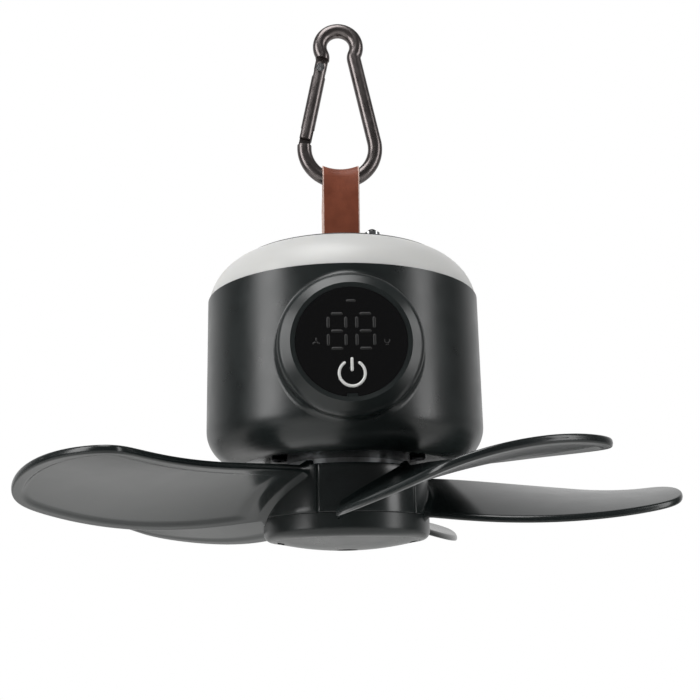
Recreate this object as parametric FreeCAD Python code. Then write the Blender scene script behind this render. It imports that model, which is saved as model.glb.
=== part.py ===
import FreeCAD, Part
import math
import os

# Hanging camping fan with a light ring, in millimetres, +Z up, front facing -Y.
# The origin is the point inside the top of the carabiner where it hangs on a line or hook.

V = FreeCAD.Vector

# Carabiner: bent from round wire
WIRE_D = 5.6
CARABINER_LENGTH = 70.4
TOP_BOW_W = 20.1
BOTTOM_BOW_W = 33.2
LEG_ANGLE = 11.5
NECK_BEND_R = 4.0
NOSE_ANGLE = 4.0

# Carabiner gate and its rivet
GATE_D = 5.4
GATE_END_GAP = 2.3
GATE_NOSE_GAP = 0.6
TANG_T = 2.4
TANG_W = 4.8
TONGUE_T = 2.0
TONGUE_W = 4.4
TONGUE_REACH = 4.2
TONGUE_SINK = 0.6
GATE_CLEAR = 0.3
GATE_SLOT_SPARE = 0.8
RIVET_D = 2.4
RIVET_HEAD_D = 3.4
RIVET_HEAD_H = 0.5
RIVET_CLEAR = 0.05
GATE_SPRING_D = 3.0
GATE_SPRING_WIRE = 0.5
GATE_SPRING_L = 12.0

# Leather strap
STRAP_W = 14.0
STRAP_T = 1.6
STRAP_CLEAR = 0.3
STRAP_DROP = 35.8
STRAP_JOIN_H = 3.0
STRAP_TAIL = 8.0
STRAP_SLOT_CLEAR = 0.35

# Top cover
COVER_D = 77.4
COVER_T = 1.4
COVER_EDGE_R = 0.4
COVER_PROUD = 0.2
COVER_RIM_W = 1.2
COVER_RIM_H = 0.5
PLUG_H = 2.0
PLUG_CLEAR = 0.3
LUG_T = 2.5
LUG_H = 7.0
LUG_W = 18.0
STRAP_SCREW_D = 2.5
STRAP_SCREW_SPACING = 8.0
STRAP_SCREW_HEAD_D = 4.6
STRAP_SCREW_HEAD_H = 1.5
STRAP_NUT_D = 5.0
STRAP_NUT_T = 1.6
COVER_SCREW_D = 3.0
COVER_SCREW_HEAD_D = 5.6
COVER_SCREW_HEAD_H = 0.9
COVER_SCREW_L = 9.0
COVER_SCREW_IN = 8.7

# Light button
BUTTON_D = 4.0
BUTTON_IN = 5.57
BUTTON_AZIMUTH = -73.7
BUTTON_RISE = 1.5
BUTTON_TRAVEL = 0.8
BUTTON_FLANGE_D = 5.6
BUTTON_FLANGE_T = 0.8
BUTTON_STEM_D = 2.6
BUTTON_CLEAR = 0.1
BEZEL_D = 5.0
BEZEL_RIM_D = 5.4
BEZEL_RIM_H = 2.6
SWITCH_SIDE = 6.0
SWITCH_H = 3.8
SWITCH_SPARE = 0.6

# Light ring
SHOULDER_H = 14.4
DIFFUSER_STEP = 0.4
DIFFUSER_T = 2.0
DIFFUSER_BELLY_IN = 3.9
DIFFUSER_BELLY_UP = 9.2
DIFFUSER_CREST = 0.5
DIFFUSER_LIP = 2.7
DIFFUSER_FOOT_H = 3.0
DIFFUSER_FOOT_T = 1.5
DIFFUSER_CLEAR = 0.2
LED_BOARD_CLEAR = 0.3
LED_BOARD_W = 10.5
BOARD_T = 1.6
LED_COUNT = 24
LED_SIDE = 2.8
LED_H = 0.8

# Deck and main board
DECK_DROP = 4.0
DECK_T = 2.5
DECK_CLEAR = 0.3
DECK_POST_D = 7.0
DECK_SCREW_D = 3.0
DECK_SCREW_HEAD_D = 5.4
DECK_SCREW_HEAD_H = 1.4
DECK_SCREW_L = 10.0
STANDOFF_H = 2.4
STANDOFF_D = 5.0
STANDOFF_PCD = 48.0
MAIN_BOARD_D = 74.0

# Main housing
BODY_D = 100.0
HOUSING_H = 60.2
WALL_T = 2.5
HOUSING_CORNER_R = 12.5
LEDGE_W = 8.5
LEDGE_T = 2.5
POST_D = 6.4
POST_SINK = 0.3

# Display boss and window
LENS_DROP = 28.4
BOSS_D = 47.6
BOSS_PROUD = 7.3
BOSS_SLOPE = 30.0
BOSS_ROUND_R = 3.0
BOSS_BLEND_R = 2.5
BEVEL_D = 39.0
BEVEL_DEPTH = 0.3
LENS_D = 35.8
LENS_T = 2.0
LENS_CLEAR = 0.1
SHOULDER_W = 1.3
NOTCH_W = 3.4
NOTCH_H = 1.1
CARRIER_L = 9.0
CARRIER_T = 1.4
CARRIER_CLEAR = 0.1
MODULE_W = 22.0
MODULE_H = 14.0
MODULE_T = 4.6
MODULE_UP = 3.2
TOUCH_D = 5.4
TOUCH_DOWN = 10.7
TOUCH_WIRE = 0.6
ICON_D = 8.6
ICON_STROKE = 1.0
ICON_T = 0.1
ICON_GAP_W = 3.2
ICON_BAR_L = 4.6

# Batteries and their holder
CELL_D = 18.4
CELL_L = 65.0
CELL_GAP = 0.3
CELL_TERMINAL_D = 6.0
CELL_TERMINAL_H = 1.0
HOLDER_RISE = 10.0
HOLDER_T = 2.0
HOLDER_WALL_T = 2.0
HOLDER_LEG_D = 6.0
HOLDER_LEG_X = 27.0
HOLDER_LEG_Y = 17.0
HOLDER_SCREW_D = 2.5
HOLDER_SCREW_HEAD_D = 4.6
HOLDER_SCREW_HEAD_H = 1.5
HOLDER_SCREW_L = 12.0

# Charging socket
USB_W = 8.94
USB_H = 3.26
USB_L = 7.3
USB_SHELL_T = 0.35
USB_TONGUE_T = 0.7
USB_TONGUE_W = 6.7
USB_DROP = 16.0
USB_CLEAR = 0.3
USB_BOARD_W = 14.0
USB_BOARD_L = 13.0
USB_BOARD_T = 1.2
USB_SHELF_T = 2.0

# Bottom plate and motor mount
PLATE_T = 2.5
PLATE_CLEAR = 0.2
PLATE_HOLE_D = 10.0
PLATE_SCREW_D = 3.0
PLATE_SCREW_HEAD_D = 5.4
PLATE_SCREW_HEAD_H = 1.5
PLATE_SCREW_L = 4.6
PLATE_SCREW_IN = 4.25
PLATE_SCREW_ANGLE = 45.0
MOUNT_FLANGE_D = 43.0
MOUNT_FLANGE_T = 1.7
MOUNT_TUBE_D = 12.4
MOUNT_SCREW_D = 2.5
MOUNT_SCREW_HEAD_D = 4.4
MOUNT_SCREW_HEAD_H = 0.6
MOUNT_SCREW_L = 3.6
MOUNT_SCREW_PCD = 33.0
BEARING_D = 9.0
BEARING_W = 4.0
BEARING_LIP = 0.8
SHAFT_D = 4.0
SHAFT_CLEAR = 0.02

# Stator
STATOR_D = 37.6
STATOR_H = 8.0
STATOR_SINK = 9.0
STATOR_HUB_T = 3.3
TOOTH_COUNT = 9
TOOTH_W = 3.4
TOOTH_TIP_T = 1.5
TOOTH_TIP_SHARE = 0.8
COIL_T = 1.6
MOTOR_BOARD_D = 34.0
MOTOR_BOARD_T = 1.2
MOTOR_BOARD_SINK = 4.0

# Rotor hub
ROTOR_GAP = 2.7
HUB_D = 59.0
HUB_H = 24.3
HUB_SKIRT_H = 7.7
HUB_LIP_ROUND = 3.1
HUB_WALL_IN_D = 44.0
HUB_FLOOR_Z = 3.2
HUB_FLOOR_T = 2.2
HUB_BOSS_D = 11.0
HUB_BOSS_UP = 2.2
HUB_RUN_GAP = 0.7
HUB_BOSS_DOWN = 2.4
SHAFT_SOCKET_FLOOR = 1.5
CAP_SEAT_D = 52.0
YOKE_T = 1.2
YOKE_H = 15.0
YOKE_FLOOR_W = 8.0
MAGNET_T = 1.4
MAGNET_H = 10.0
CIRCLIP_D = 7.4
CIRCLIP_T = 0.6

# Hub cap
CAP_SAG = 3.0
CAP_T = 1.6
CAP_CLEAR = 0.15
CAP_RECESS_D = 7.8
CAP_RECESS_DEPTH = 1.6
CAP_SCREW_D = 2.5
CAP_SCREW_HEAD_D = 5.4
CAP_SCREW_HEAD_H = 1.1
CAP_GRIP_W = 9.0
CAP_GRIP_L = 2.4
CAP_GRIP_DEPTH = 0.7
CAP_GRIP_R = 23.4

# Blades
BLADE_COUNT = 5
BLADE_AZIMUTH = 209.0
BLADE_REACH = 121.9
BLADE_T = 2.4
BLADE_STATIONS = 12
MIDLINE_ROOT_ANGLE = 7.6
MIDLINE_NEAR_ANGLE = 3.5
MIDLINE_FAR_ANGLE = 7.6
MIDLINE_TIP_ANGLE = 13.2
HALF_CHORD_ROOT = 12.6
HALF_CHORD_MID = 23.5
HALF_CHORD_TIP = 30.3
TIP_SQUARENESS = 30.0
RISE_ROOT = 13.8
RISE_NEAR = 12.3
RISE_FAR = 10.7
RISE_TIP = 12.4
PITCH_ROOT_ANGLE = 30.4
PITCH_MID_ANGLE = 19.4
PITCH_TIP_ANGLE = 16.7
CAMBER_R = 192.0
BLADE_START = 16.0
DISH_BORDER = 4.0
DISH_DEPTH = 0.7
PANEL_T = 2.2
PANEL_CLEAR = 0.1
PANEL_SEAM_GAP = 0.2
PANEL_SEAM_AZIMUTH = 248.0
RIB_NECK_W = 5.0
RIB_HEAD_W = 8.0
RIB_HEAD_T = 3.4
RIB_NECK_T = 1.0
RIB_DROP = 3.0
RIB_CLEAR = 0.12
BLADE_SCREW_D = 1.8
BLADE_SCREW_HEAD_D = 3.0
BLADE_SCREW_HEAD_H = 1.2
BLADE_SCREW_L = 10.0

# How far a cut runs past the faces it opens
PAST = 1.0

# Heights and radii that follow from the sizes above
WIRE_R = WIRE_D / 2
TOP_BOW_R = TOP_BOW_W / 2 - WIRE_R
BOTTOM_BOW_R = BOTTOM_BOW_W / 2 - WIRE_R
TOP_BOW_Z = WIRE_R - TOP_BOW_R
PIVOT_Z = WIRE_D - CARABINER_LENGTH + WIRE_R
BOTTOM_BOW_Z = PIVOT_Z + BOTTOM_BOW_R
COVER_TOP = PIVOT_Z - STRAP_DROP
COVER_UNDER = COVER_TOP - COVER_T
SEAM_Z = COVER_TOP - SHOULDER_H
DECK_TOP = SEAM_Z - DECK_DROP
DECK_UNDER = DECK_TOP - DECK_T
MAIN_BOARD_Z = DECK_TOP + STANDOFF_H
BASE_Z = SEAM_Z - HOUSING_H
BODY_R = BODY_D / 2
INNER_R = BODY_R - WALL_T
PLATE_HOLE_R = BODY_R - HOUSING_CORNER_R
LEDGE_Z = BASE_Z + PLATE_T
LEDGE_TOP = LEDGE_Z + LEDGE_T
DIFFUSER_R = BODY_R - DIFFUSER_STEP
RING_FOOT_R = INNER_R - DIFFUSER_CLEAR - DIFFUSER_FOOT_T
LED_BOARD_R = RING_FOOT_R - LED_BOARD_CLEAR
BUTTON_X = (COVER_D / 2 - BUTTON_IN) * math.cos(math.radians(BUTTON_AZIMUTH))
BUTTON_Y = (COVER_D / 2 - BUTTON_IN) * math.sin(math.radians(BUTTON_AZIMUTH))
LENS_Z = SEAM_Z - LENS_DROP
BOSS_FACE_Y = -BODY_R - BOSS_PROUD
LENS_Y = BOSS_FACE_Y + BEVEL_DEPTH
SHOULDER_Y = LENS_Y + LENS_T
WINDOW_BORE_R = LENS_D / 2 - SHOULDER_W
USB_Z = SEAM_Z - USB_DROP
HOLDER_Z = LEDGE_TOP + HOLDER_RISE - HOLDER_T
HUB_TOP = BASE_Z - ROTOR_GAP
LIP_Z = HUB_TOP - HUB_H
HUB_R = HUB_D / 2
CORE_R = HUB_R - PANEL_T - PANEL_CLEAR
PANEL_Z = LIP_Z + HUB_SKIRT_H + PANEL_CLEAR
FLOOR_Z = LIP_Z + HUB_FLOOR_Z
FLOOR_TOP = FLOOR_Z + HUB_FLOOR_T
YOKE_R = HUB_WALL_IN_D / 2
MAGNET_R = YOKE_R - YOKE_T
SHAFT_BOTTOM = FLOOR_Z - HUB_BOSS_DOWN + SHAFT_SOCKET_FLOOR
MOUNT_UNDER = BASE_Z - MOUNT_FLANGE_T
TUBE_BOTTOM = FLOOR_TOP + HUB_BOSS_UP + HUB_RUN_GAP
STATOR_TOP = MOUNT_UNDER - STATOR_SINK + MOUNT_FLANGE_T
ANCHOR_Z = COVER_UNDER - PLUG_H - LUG_H / 2
RIB_HEAD_R = CORE_R - RIB_NECK_T
PANEL_SPAN = 360.0 / BLADE_COUNT
PANEL_MID_AZIMUTH = PANEL_SEAM_AZIMUTH - PANEL_SPAN / 2


def rod(radius, z0, z1, x=0.0, y=0.0):
    """Upright cylinder between two heights."""
    return Part.makeCylinder(radius, z1 - z0, V(x, y, z0), V(0, 0, 1))


def tube(outer, inner, z0, z1):
    """Upright ring between two heights."""
    return rod(outer, z0, z1).cut(rod(inner, z0 - PAST, z1 + PAST))


def rod_y(radius, y0, y1, x=0.0, z=0.0):
    """Cylinder along Y."""
    return Part.makeCylinder(radius, y1 - y0, V(x, y0, z), V(0, 1, 0))


def block(x0, x1, y0, y1, z0, z1):
    """Box between its lowest and highest corners."""
    return Part.makeBox(x1 - x0, y1 - y0, z1 - z0, V(x0, y0, z0))


def bar(start, end):
    """Straight edge between two points."""
    return Part.LineSegment(start, end).toShape()


def bow(start, middle, end):
    """Circular edge through three points."""
    return Part.Arc(start, middle, end).toShape()


def turned(edges):
    """Solid of revolution about Z from edges drawn in the X-Z plane."""
    return Part.Face(Part.Wire(edges)).revolve(V(0, 0, 0), V(0, 0, 1), 360)


def chain(points):
    """Straight edges through points, closed on the first one."""
    return [bar(a, b) for a, b in zip(points, points[1:] + points[:1])]


def spun(shape, angle):
    """Copy turned about the Z axis, in degrees."""
    copy = shape.copy()
    copy.rotate(V(0, 0, 0), V(0, 0, 1), angle)
    return copy


def ring_of(shape, count, start=0.0):
    """Copies of a shape spaced evenly about Z."""
    return [spun(shape, start + i * 360.0 / count) for i in range(count)]


def united(shapes):
    """One solid fused from several."""
    return shapes[0].multiFuse(shapes[1:]).removeSplitter()


def ring_place(radius, angle):
    """Point on a circle about Z."""
    turn = math.radians(angle)
    return radius * math.cos(turn), radius * math.sin(turn)


def quadratic(at_root, at_mid, at_tip, s):
    """Value at s of the parabola through its values at 0, a half and 1."""
    return (at_root * (1 - s) * (1 - 2 * s) + at_mid * 4 * s * (1 - s) + at_tip * s * (2 * s - 1))


def cubic(at_root, near, far, at_tip, s):
    """Value at s of the cubic through its values at 0, one third, two thirds and 1."""
    t = s * 3
    return (-at_root * (t - 1) * (t - 2) * (t - 3) / 6 + near * t * (t - 2) * (t - 3) / 2
            - far * t * (t - 1) * (t - 3) / 2 + at_tip * t * (t - 1) * (t - 2) / 6)


def screw(x, y, seat, length, diameter, head_d, head_h, down=True):
    """Pan-head screw on the Z axis whose head stands on the seat height."""
    if down:
        return rod(diameter / 2, seat - length, seat, x, y).fuse(rod(head_d / 2, seat, seat + head_h, x, y))
    return rod(diameter / 2, seat, seat + length, x, y).fuse(rod(head_d / 2, seat - head_h, seat, x, y))


# Carabiner

def carabiner_corners():
    """Key points of the right half of the wire's centre line, and the neck's centre."""
    angle = math.radians(LEG_ANGLE)
    along = V(-math.sin(angle), 0, math.cos(angle))
    outward = V(math.cos(angle), 0, math.sin(angle))
    top = V(0, 0, TOP_BOW_Z)
    bottom = V(0, 0, BOTTOM_BOW_Z)
    rise = TOP_BOW_Z - BOTTOM_BOW_Z
    offset = BOTTOM_BOW_R + NECK_BEND_R
    reach = math.sqrt((TOP_BOW_R + NECK_BEND_R) ** 2 - (offset - rise * math.sin(angle)) ** 2)
    neck = bottom + outward * offset + along * (rise * math.cos(angle) - reach)
    leg_top = neck - outward * NECK_BEND_R
    leg_foot = bottom + outward * BOTTOM_BOW_R
    bow_end = top + (neck - top) * (TOP_BOW_R / (TOP_BOW_R + NECK_BEND_R))
    to_leg = (leg_top - neck).normalize()
    to_bow = (bow_end - neck).normalize()
    neck_mid = neck + (to_leg + to_bow).normalize() * NECK_BEND_R
    return bow_end, neck_mid, leg_top, leg_foot


def mirrored(point):
    """Point on the other side of the carabiner's centre line."""
    return V(-point.x, point.y, point.z)


def rivet_place():
    """Rivet's axis on the left leg."""
    leg_top = mirrored(carabiner_corners()[2])
    return leg_top + leg_down() * (GATE_D / 2 + GATE_END_GAP)


def leg_down():
    """Direction down the left leg."""
    angle = math.radians(LEG_ANGLE)
    return V(-math.sin(angle), 0, -math.cos(angle))


def nose_end():
    """Point on the left of the bottom bow where the round wire ends below the gate."""
    angle = math.radians(NOSE_ANGLE)
    return V(-BOTTOM_BOW_R * math.cos(angle), 0, BOTTOM_BOW_Z + BOTTOM_BOW_R * math.sin(angle))


def gate_length():
    """Distance from the rivet to the gate's lower end."""
    corners = carabiner_corners()
    leg = (corners[3] - corners[2]).Length
    return leg - GATE_D / 2 - GATE_END_GAP - GATE_NOSE_GAP


def on_left_leg(shape):
    """Move a shape drawn about the rivet, with the leg along -Z, to the left leg."""
    shape.rotate(V(0, 0, 0), V(0, 1, 0), LEG_ANGLE)
    shape.translate(rivet_place())
    return shape


def carabiner_frame():
    """Bent wire from the gate's tang over both bows to the nose."""
    bow_end, neck_mid, leg_top, leg_foot = carabiner_corners()
    path = Part.Wire([
        bow(mirrored(leg_top), mirrored(neck_mid), mirrored(bow_end)),
        bow(mirrored(bow_end), V(0, 0, WIRE_R), bow_end),
        bow(bow_end, neck_mid, leg_top),
        bar(leg_top, leg_foot),
        bow(leg_foot, V(0, 0, PIVOT_Z), nose_end()),
    ])
    ring = Part.Wire([Part.Circle(mirrored(leg_top), leg_down(), WIRE_R).toShape()])
    wire = path.makePipeShell([ring], True, True)
    end = GATE_D / 2 + GATE_END_GAP
    tang = block(-TANG_W / 2, TANG_W / 2, -TANG_T / 2, TANG_T / 2, 0, end + RIVET_HEAD_H)
    tang = tang.fuse(rod_y(TANG_W / 2, -TANG_T / 2, TANG_T / 2))
    tang = tang.cut(rod_y(RIVET_D / 2, -TANG_T, TANG_T))
    arc = BOTTOM_BOW_R * math.radians(LEG_ANGLE - NOSE_ANGLE)
    root = gate_length() + GATE_NOSE_GAP + arc + TONGUE_SINK
    tongue = block(-TONGUE_W / 2, TONGUE_W / 2, -TONGUE_T / 2, TONGUE_T / 2,
                   -root, -gate_length() + TONGUE_REACH)
    return united([wire, on_left_leg(tang), on_left_leg(tongue)])


def carabiner_gate():
    """Round gate, slotted at both ends, that turns on the rivet."""
    length = gate_length()
    radius = GATE_D / 2
    gate = rod(radius, -length, 0).fuse(rod(radius, 0, radius).common(rod_y(radius, -radius, radius)))
    tang_slot = TANG_T / 2 + GATE_CLEAR
    gate = gate.cut(block(-GATE_D, GATE_D, -tang_slot, tang_slot,
                          -TANG_W / 2 - GATE_SLOT_SPARE, GATE_D))
    tongue_slot = TONGUE_T / 2 + GATE_CLEAR
    gate = gate.cut(block(-GATE_D, GATE_D, -tongue_slot, tongue_slot,
                          -length - PAST, -length + TONGUE_REACH + GATE_SLOT_SPARE))
    bore_top = -TANG_W / 2 - GATE_SLOT_SPARE
    gate = gate.cut(rod(GATE_SPRING_D / 2, bore_top - GATE_SPRING_L, bore_top + PAST))
    gate = gate.cut(rod_y(RIVET_D / 2 + RIVET_CLEAR, -GATE_D, GATE_D))
    return on_left_leg(gate)


def gate_spring():
    """Closing spring, in the gate's bore, its top end at the tang's rounded end."""
    foot = -TANG_W / 2 - GATE_SLOT_SPARE - GATE_SPRING_L
    outer = GATE_SPRING_D / 2
    return on_left_leg(tube(outer, outer - GATE_SPRING_WIRE, foot, -TANG_W / 2 - RIVET_CLEAR))


def gate_rivet():
    """Rivet through the gate's cheeks and the tang, with a head on each side."""
    reach = GATE_D / 2 + RIVET_CLEAR
    pin = rod_y(RIVET_D / 2, -reach, reach)
    front = rod_y(RIVET_HEAD_D / 2, -reach - RIVET_HEAD_H, -reach)
    back = rod_y(RIVET_HEAD_D / 2, reach, reach + RIVET_HEAD_H)
    return on_left_leg(united([pin, front, back]))


# Strap

def strap_loop_r():
    """Inner radius of the strap's loop, which clears the curved bow over the strap's width."""
    bow_inner = BOTTOM_BOW_R - WIRE_R
    return BOTTOM_BOW_R - math.sqrt(bow_inner ** 2 - (STRAP_W / 2) ** 2) + STRAP_CLEAR


def strap_outline(radius, half_gap, join):
    """Edges of a teardrop about the pivot, closed by a flat foot, in the Y-Z plane."""
    inner = strap_loop_r()
    lean = math.asin(inner / (PIVOT_Z - join))
    touch = V(0, radius * math.cos(lean), PIVOT_Z - radius * math.sin(lean))
    run = (touch.y - half_gap) / math.sin(lean)
    foot = V(0, half_gap, touch.z - run * math.cos(lean))
    touch_left = V(0, -touch.y, touch.z)
    foot_left = V(0, -foot.y, foot.z)
    top = V(0, 0, PIVOT_Z + radius)
    edges = [bow(touch, top, touch_left), bar(touch_left, foot_left), bar(foot, touch)]
    if half_gap > 0:
        edges.insert(2, bar(foot_left, foot))
    return edges, foot.z


def strap_loop():
    """Leather strap folded over the wire, its two ends clamped under the cover."""
    join = COVER_TOP + STRAP_JOIN_H
    radius = strap_loop_r()
    outer, foot_z = strap_outline(radius + STRAP_T, STRAP_T, join)
    inner, _ = strap_outline(radius, 0.0, join)
    along = V(STRAP_W, 0, 0)
    loop = Part.Face(Part.Wire(outer)).extrude(along)
    loop = loop.cut(Part.Face(Part.Wire(inner)).extrude(along))
    loop.translate(V(-STRAP_W / 2, 0, 0))
    half = STRAP_W / 2
    tail_end = COVER_UNDER - PLUG_H - STRAP_TAIL
    tail = block(-half, half, -STRAP_T, STRAP_T, tail_end, foot_z + PAST)
    tail = tail.cut(Part.Face(Part.Wire(inner)).extrude(along).translated(V(-half, 0, 0)))
    strap = united([loop, tail])
    for x in strap_screw_places():
        strap = strap.cut(rod_y(STRAP_SCREW_D / 2, -LUG_T * 2, LUG_T * 2, x, ANCHOR_Z))
    return strap


def strap_screw_places():
    """Positions across the strap of its two screws."""
    return (-STRAP_SCREW_SPACING / 2, STRAP_SCREW_SPACING / 2)


def lug_inner():
    """Distance from the strap's middle to the lugs that hold it."""
    return STRAP_T + STRAP_SLOT_CLEAR


def strap_screws():
    """Two screws across the lugs and the strap's tail."""
    face = lug_inner() + LUG_T
    pieces = []
    for x in strap_screw_places():
        pin = rod_y(STRAP_SCREW_D / 2, -face, face + STRAP_NUT_T, x, ANCHOR_Z)
        head = rod_y(STRAP_SCREW_HEAD_D / 2, -face - STRAP_SCREW_HEAD_H, -face, x, ANCHOR_Z)
        pieces.append(pin.fuse(head))
    return Part.makeCompound(pieces)


def strap_nuts():
    """Hexagon nuts on the strap's screws."""
    face = lug_inner() + LUG_T
    pieces = []
    for x in strap_screw_places():
        corners = []
        for i in range(6):
            turn = math.radians(60 * i)
            reach = STRAP_NUT_D / 2
            corners.append(V(x + reach * math.cos(turn), face, ANCHOR_Z + reach * math.sin(turn)))
        nut = Part.Face(Part.Wire(chain(corners))).extrude(V(0, STRAP_NUT_T, 0))
        pieces.append(nut.cut(rod_y(STRAP_SCREW_D / 2, 0, face * 2, x, ANCHOR_Z)))
    return Part.makeCompound(pieces)


# Top cover and light button

def cover_screw_places():
    """Three screws on a circle through the cover, the first one at the back."""
    return [ring_place(COVER_D / 2 - COVER_SCREW_IN, 90 + i * 120) for i in range(3)]


def plug_r():
    """Radius of the part of the cover that drops inside the light ring."""
    return COVER_D / 2 - DIFFUSER_LIP - PLUG_CLEAR


def top_cover():
    """Round lid with a slot for the strap and two lugs that clamp it."""
    rim_top = COVER_TOP + COVER_RIM_H
    rim = rod(COVER_D / 2, COVER_UNDER, rim_top)
    rim = rim.makeFillet(COVER_EDGE_R, [e for e in rim.Edges if e.BoundBox.ZMin > rim_top - COVER_T / 2])
    rim = rim.cut(rod(COVER_D / 2 - COVER_RIM_W, COVER_TOP, rim_top + PAST))
    cover = rim.fuse(rod(plug_r(), COVER_UNDER - PLUG_H, COVER_UNDER))
    under = COVER_UNDER - PLUG_H
    near = lug_inner()
    for y0 in (near, -near - LUG_T):
        cover = cover.fuse(block(-LUG_W / 2, LUG_W / 2, y0, y0 + LUG_T, under - LUG_H, under))
    slot = STRAP_W / 2 + STRAP_SLOT_CLEAR
    cover = cover.cut(block(-slot, slot, -near, near, under - PAST, COVER_TOP + PAST))
    for x in strap_screw_places():
        cover = cover.cut(rod_y(STRAP_SCREW_D / 2, -COVER_D, COVER_D, x, ANCHOR_Z))
    for x, y in cover_screw_places():
        cover = cover.cut(rod(COVER_SCREW_D / 2, under - PAST, COVER_TOP + PAST, x, y))
        cover = cover.cut(rod(COVER_SCREW_HEAD_D / 2 + PLUG_CLEAR, COVER_TOP - COVER_SCREW_HEAD_H,
                              COVER_TOP + PAST, x, y))
    return cover.cut(rod(BEZEL_D / 2, under - PAST, COVER_TOP + PAST, BUTTON_X, BUTTON_Y)).removeSplitter()


def cover_screws():
    """Screws from the cover into the deck's posts."""
    seat = COVER_TOP - COVER_SCREW_HEAD_H
    return Part.makeCompound([
        screw(x, y, seat, COVER_SCREW_L, COVER_SCREW_D, COVER_SCREW_HEAD_D, COVER_SCREW_HEAD_H)
        for x, y in cover_screw_places()])


def button_under():
    """Underside of the bezel, where the button's flange stops."""
    return COVER_UNDER - PLUG_H


def button_bezel():
    """Metal collar pressed into the cover around the light button."""
    top = COVER_TOP + BEZEL_RIM_H
    bezel = rod(BEZEL_D / 2, button_under(), COVER_TOP, BUTTON_X, BUTTON_Y)
    bezel = bezel.fuse(rod(BEZEL_RIM_D / 2, COVER_TOP, top, BUTTON_X, BUTTON_Y))
    hole = rod(BUTTON_D / 2 + BUTTON_CLEAR, button_under() - PAST, top + PAST, BUTTON_X, BUTTON_Y)
    return bezel.cut(hole).removeSplitter()


def light_button():
    """Domed push button with a flange under the bezel and a stem into its switch."""
    rim = COVER_TOP + BEZEL_RIM_H
    radius = BUTTON_D / 2
    under = button_under() - BUTTON_CLEAR
    body = rod(radius, under, rim, BUTTON_X, BUTTON_Y)
    dome_r = (radius ** 2 + BUTTON_RISE ** 2) / (2 * BUTTON_RISE)
    ball = Part.makeSphere(dome_r, V(BUTTON_X, BUTTON_Y, rim + BUTTON_RISE - dome_r))
    dome = ball.common(rod(radius, rim, rim + BUTTON_RISE, BUTTON_X, BUTTON_Y))
    flange = rod(BUTTON_FLANGE_D / 2, under - BUTTON_FLANGE_T, under, BUTTON_X, BUTTON_Y)
    switch_top = MAIN_BOARD_Z + BOARD_T + SWITCH_H
    stem_end = switch_top - SWITCH_H + SWITCH_SPARE + BUTTON_TRAVEL
    stem = rod(BUTTON_STEM_D / 2, stem_end, under, BUTTON_X, BUTTON_Y)
    return united([body, dome, flange, stem])


def light_switch():
    """Small push switch on the main board; the button's stem slides in its bore."""
    half = SWITCH_SIDE / 2
    z0 = MAIN_BOARD_Z + BOARD_T
    body = block(BUTTON_X - half, BUTTON_X + half, BUTTON_Y - half, BUTTON_Y + half, z0, z0 + SWITCH_H)
    bore = rod(BUTTON_STEM_D / 2 + BUTTON_CLEAR, z0 + SWITCH_SPARE / 2, z0 + SWITCH_H + PAST,
               BUTTON_X, BUTTON_Y)
    return body.cut(bore)


# Light ring

def diffuser_ring():
    """Translucent shoulder between the housing's rim and the cover."""
    top_z = COVER_TOP - COVER_PROUD
    seat_r = COVER_D / 2 + DIFFUSER_CLEAR
    top_r = seat_r + DIFFUSER_CREST
    belly = V(DIFFUSER_R - DIFFUSER_BELLY_IN, 0, SEAM_Z + DIFFUSER_BELLY_UP)
    shrink = DIFFUSER_T * math.sqrt(0.5)
    foot_in = RING_FOOT_R
    foot_out = foot_in + DIFFUSER_FOOT_T
    foot_z = SEAM_Z - DIFFUSER_FOOT_H
    outer_foot = V(DIFFUSER_R, 0, SEAM_Z)
    outer_top = V(top_r, 0, top_z)
    seat_top, seat_foot = V(seat_r, 0, top_z), V(seat_r, 0, COVER_UNDER)
    lip_top = V(seat_r - DIFFUSER_LIP, 0, COVER_UNDER)
    lip_under = V(seat_r - DIFFUSER_LIP, 0, COVER_UNDER - DIFFUSER_T)
    wall_in = V(foot_in, 0, SEAM_Z + DIFFUSER_T)
    return turned([
        bow(outer_foot, belly, outer_top), bar(outer_top, seat_top), bar(seat_top, seat_foot),
        bar(seat_foot, lip_top), bar(lip_top, lip_under),
        bow(lip_under, V(belly.x - shrink, 0, belly.z - shrink), wall_in),
        bar(wall_in, V(foot_in, 0, foot_z)), bar(V(foot_in, 0, foot_z), V(foot_out, 0, foot_z)),
        bar(V(foot_out, 0, foot_z), V(foot_out, 0, SEAM_Z)), bar(V(foot_out, 0, SEAM_Z), outer_foot),
    ])


def led_board():
    """Ring-shaped circuit board on the deck, clear of the cover's posts."""
    board = tube(LED_BOARD_R, LED_BOARD_R - LED_BOARD_W, DECK_TOP, DECK_TOP + BOARD_T)
    for x, y in cover_screw_places():
        board = board.cut(rod(DECK_POST_D / 2 + DECK_CLEAR, DECK_TOP - PAST, COVER_TOP, x, y))
    return board


def led_chips():
    """Surface-mounted lamps spaced evenly round the board."""
    radius = LED_BOARD_R - LED_BOARD_W / 2
    half = LED_SIDE / 2
    z0 = DECK_TOP + BOARD_T
    chip = block(radius - half, radius + half, -half, half, z0, z0 + LED_H)
    return Part.makeCompound(ring_of(chip, LED_COUNT))


# Deck and main board

def deck_screw_places():
    """Four screws from the deck into the housing's posts."""
    return [ring_place(housing_post_r(), 45 + i * 90) for i in range(4)]


def housing_post_r():
    """Radius of the housing's posts, which grow out of its wall."""
    return INNER_R - POST_D / 2 + POST_SINK


def standoff_places():
    """Four standoffs under the main board."""
    return [ring_place(STANDOFF_PCD / 2, 45 + i * 90) for i in range(4)]


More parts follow.
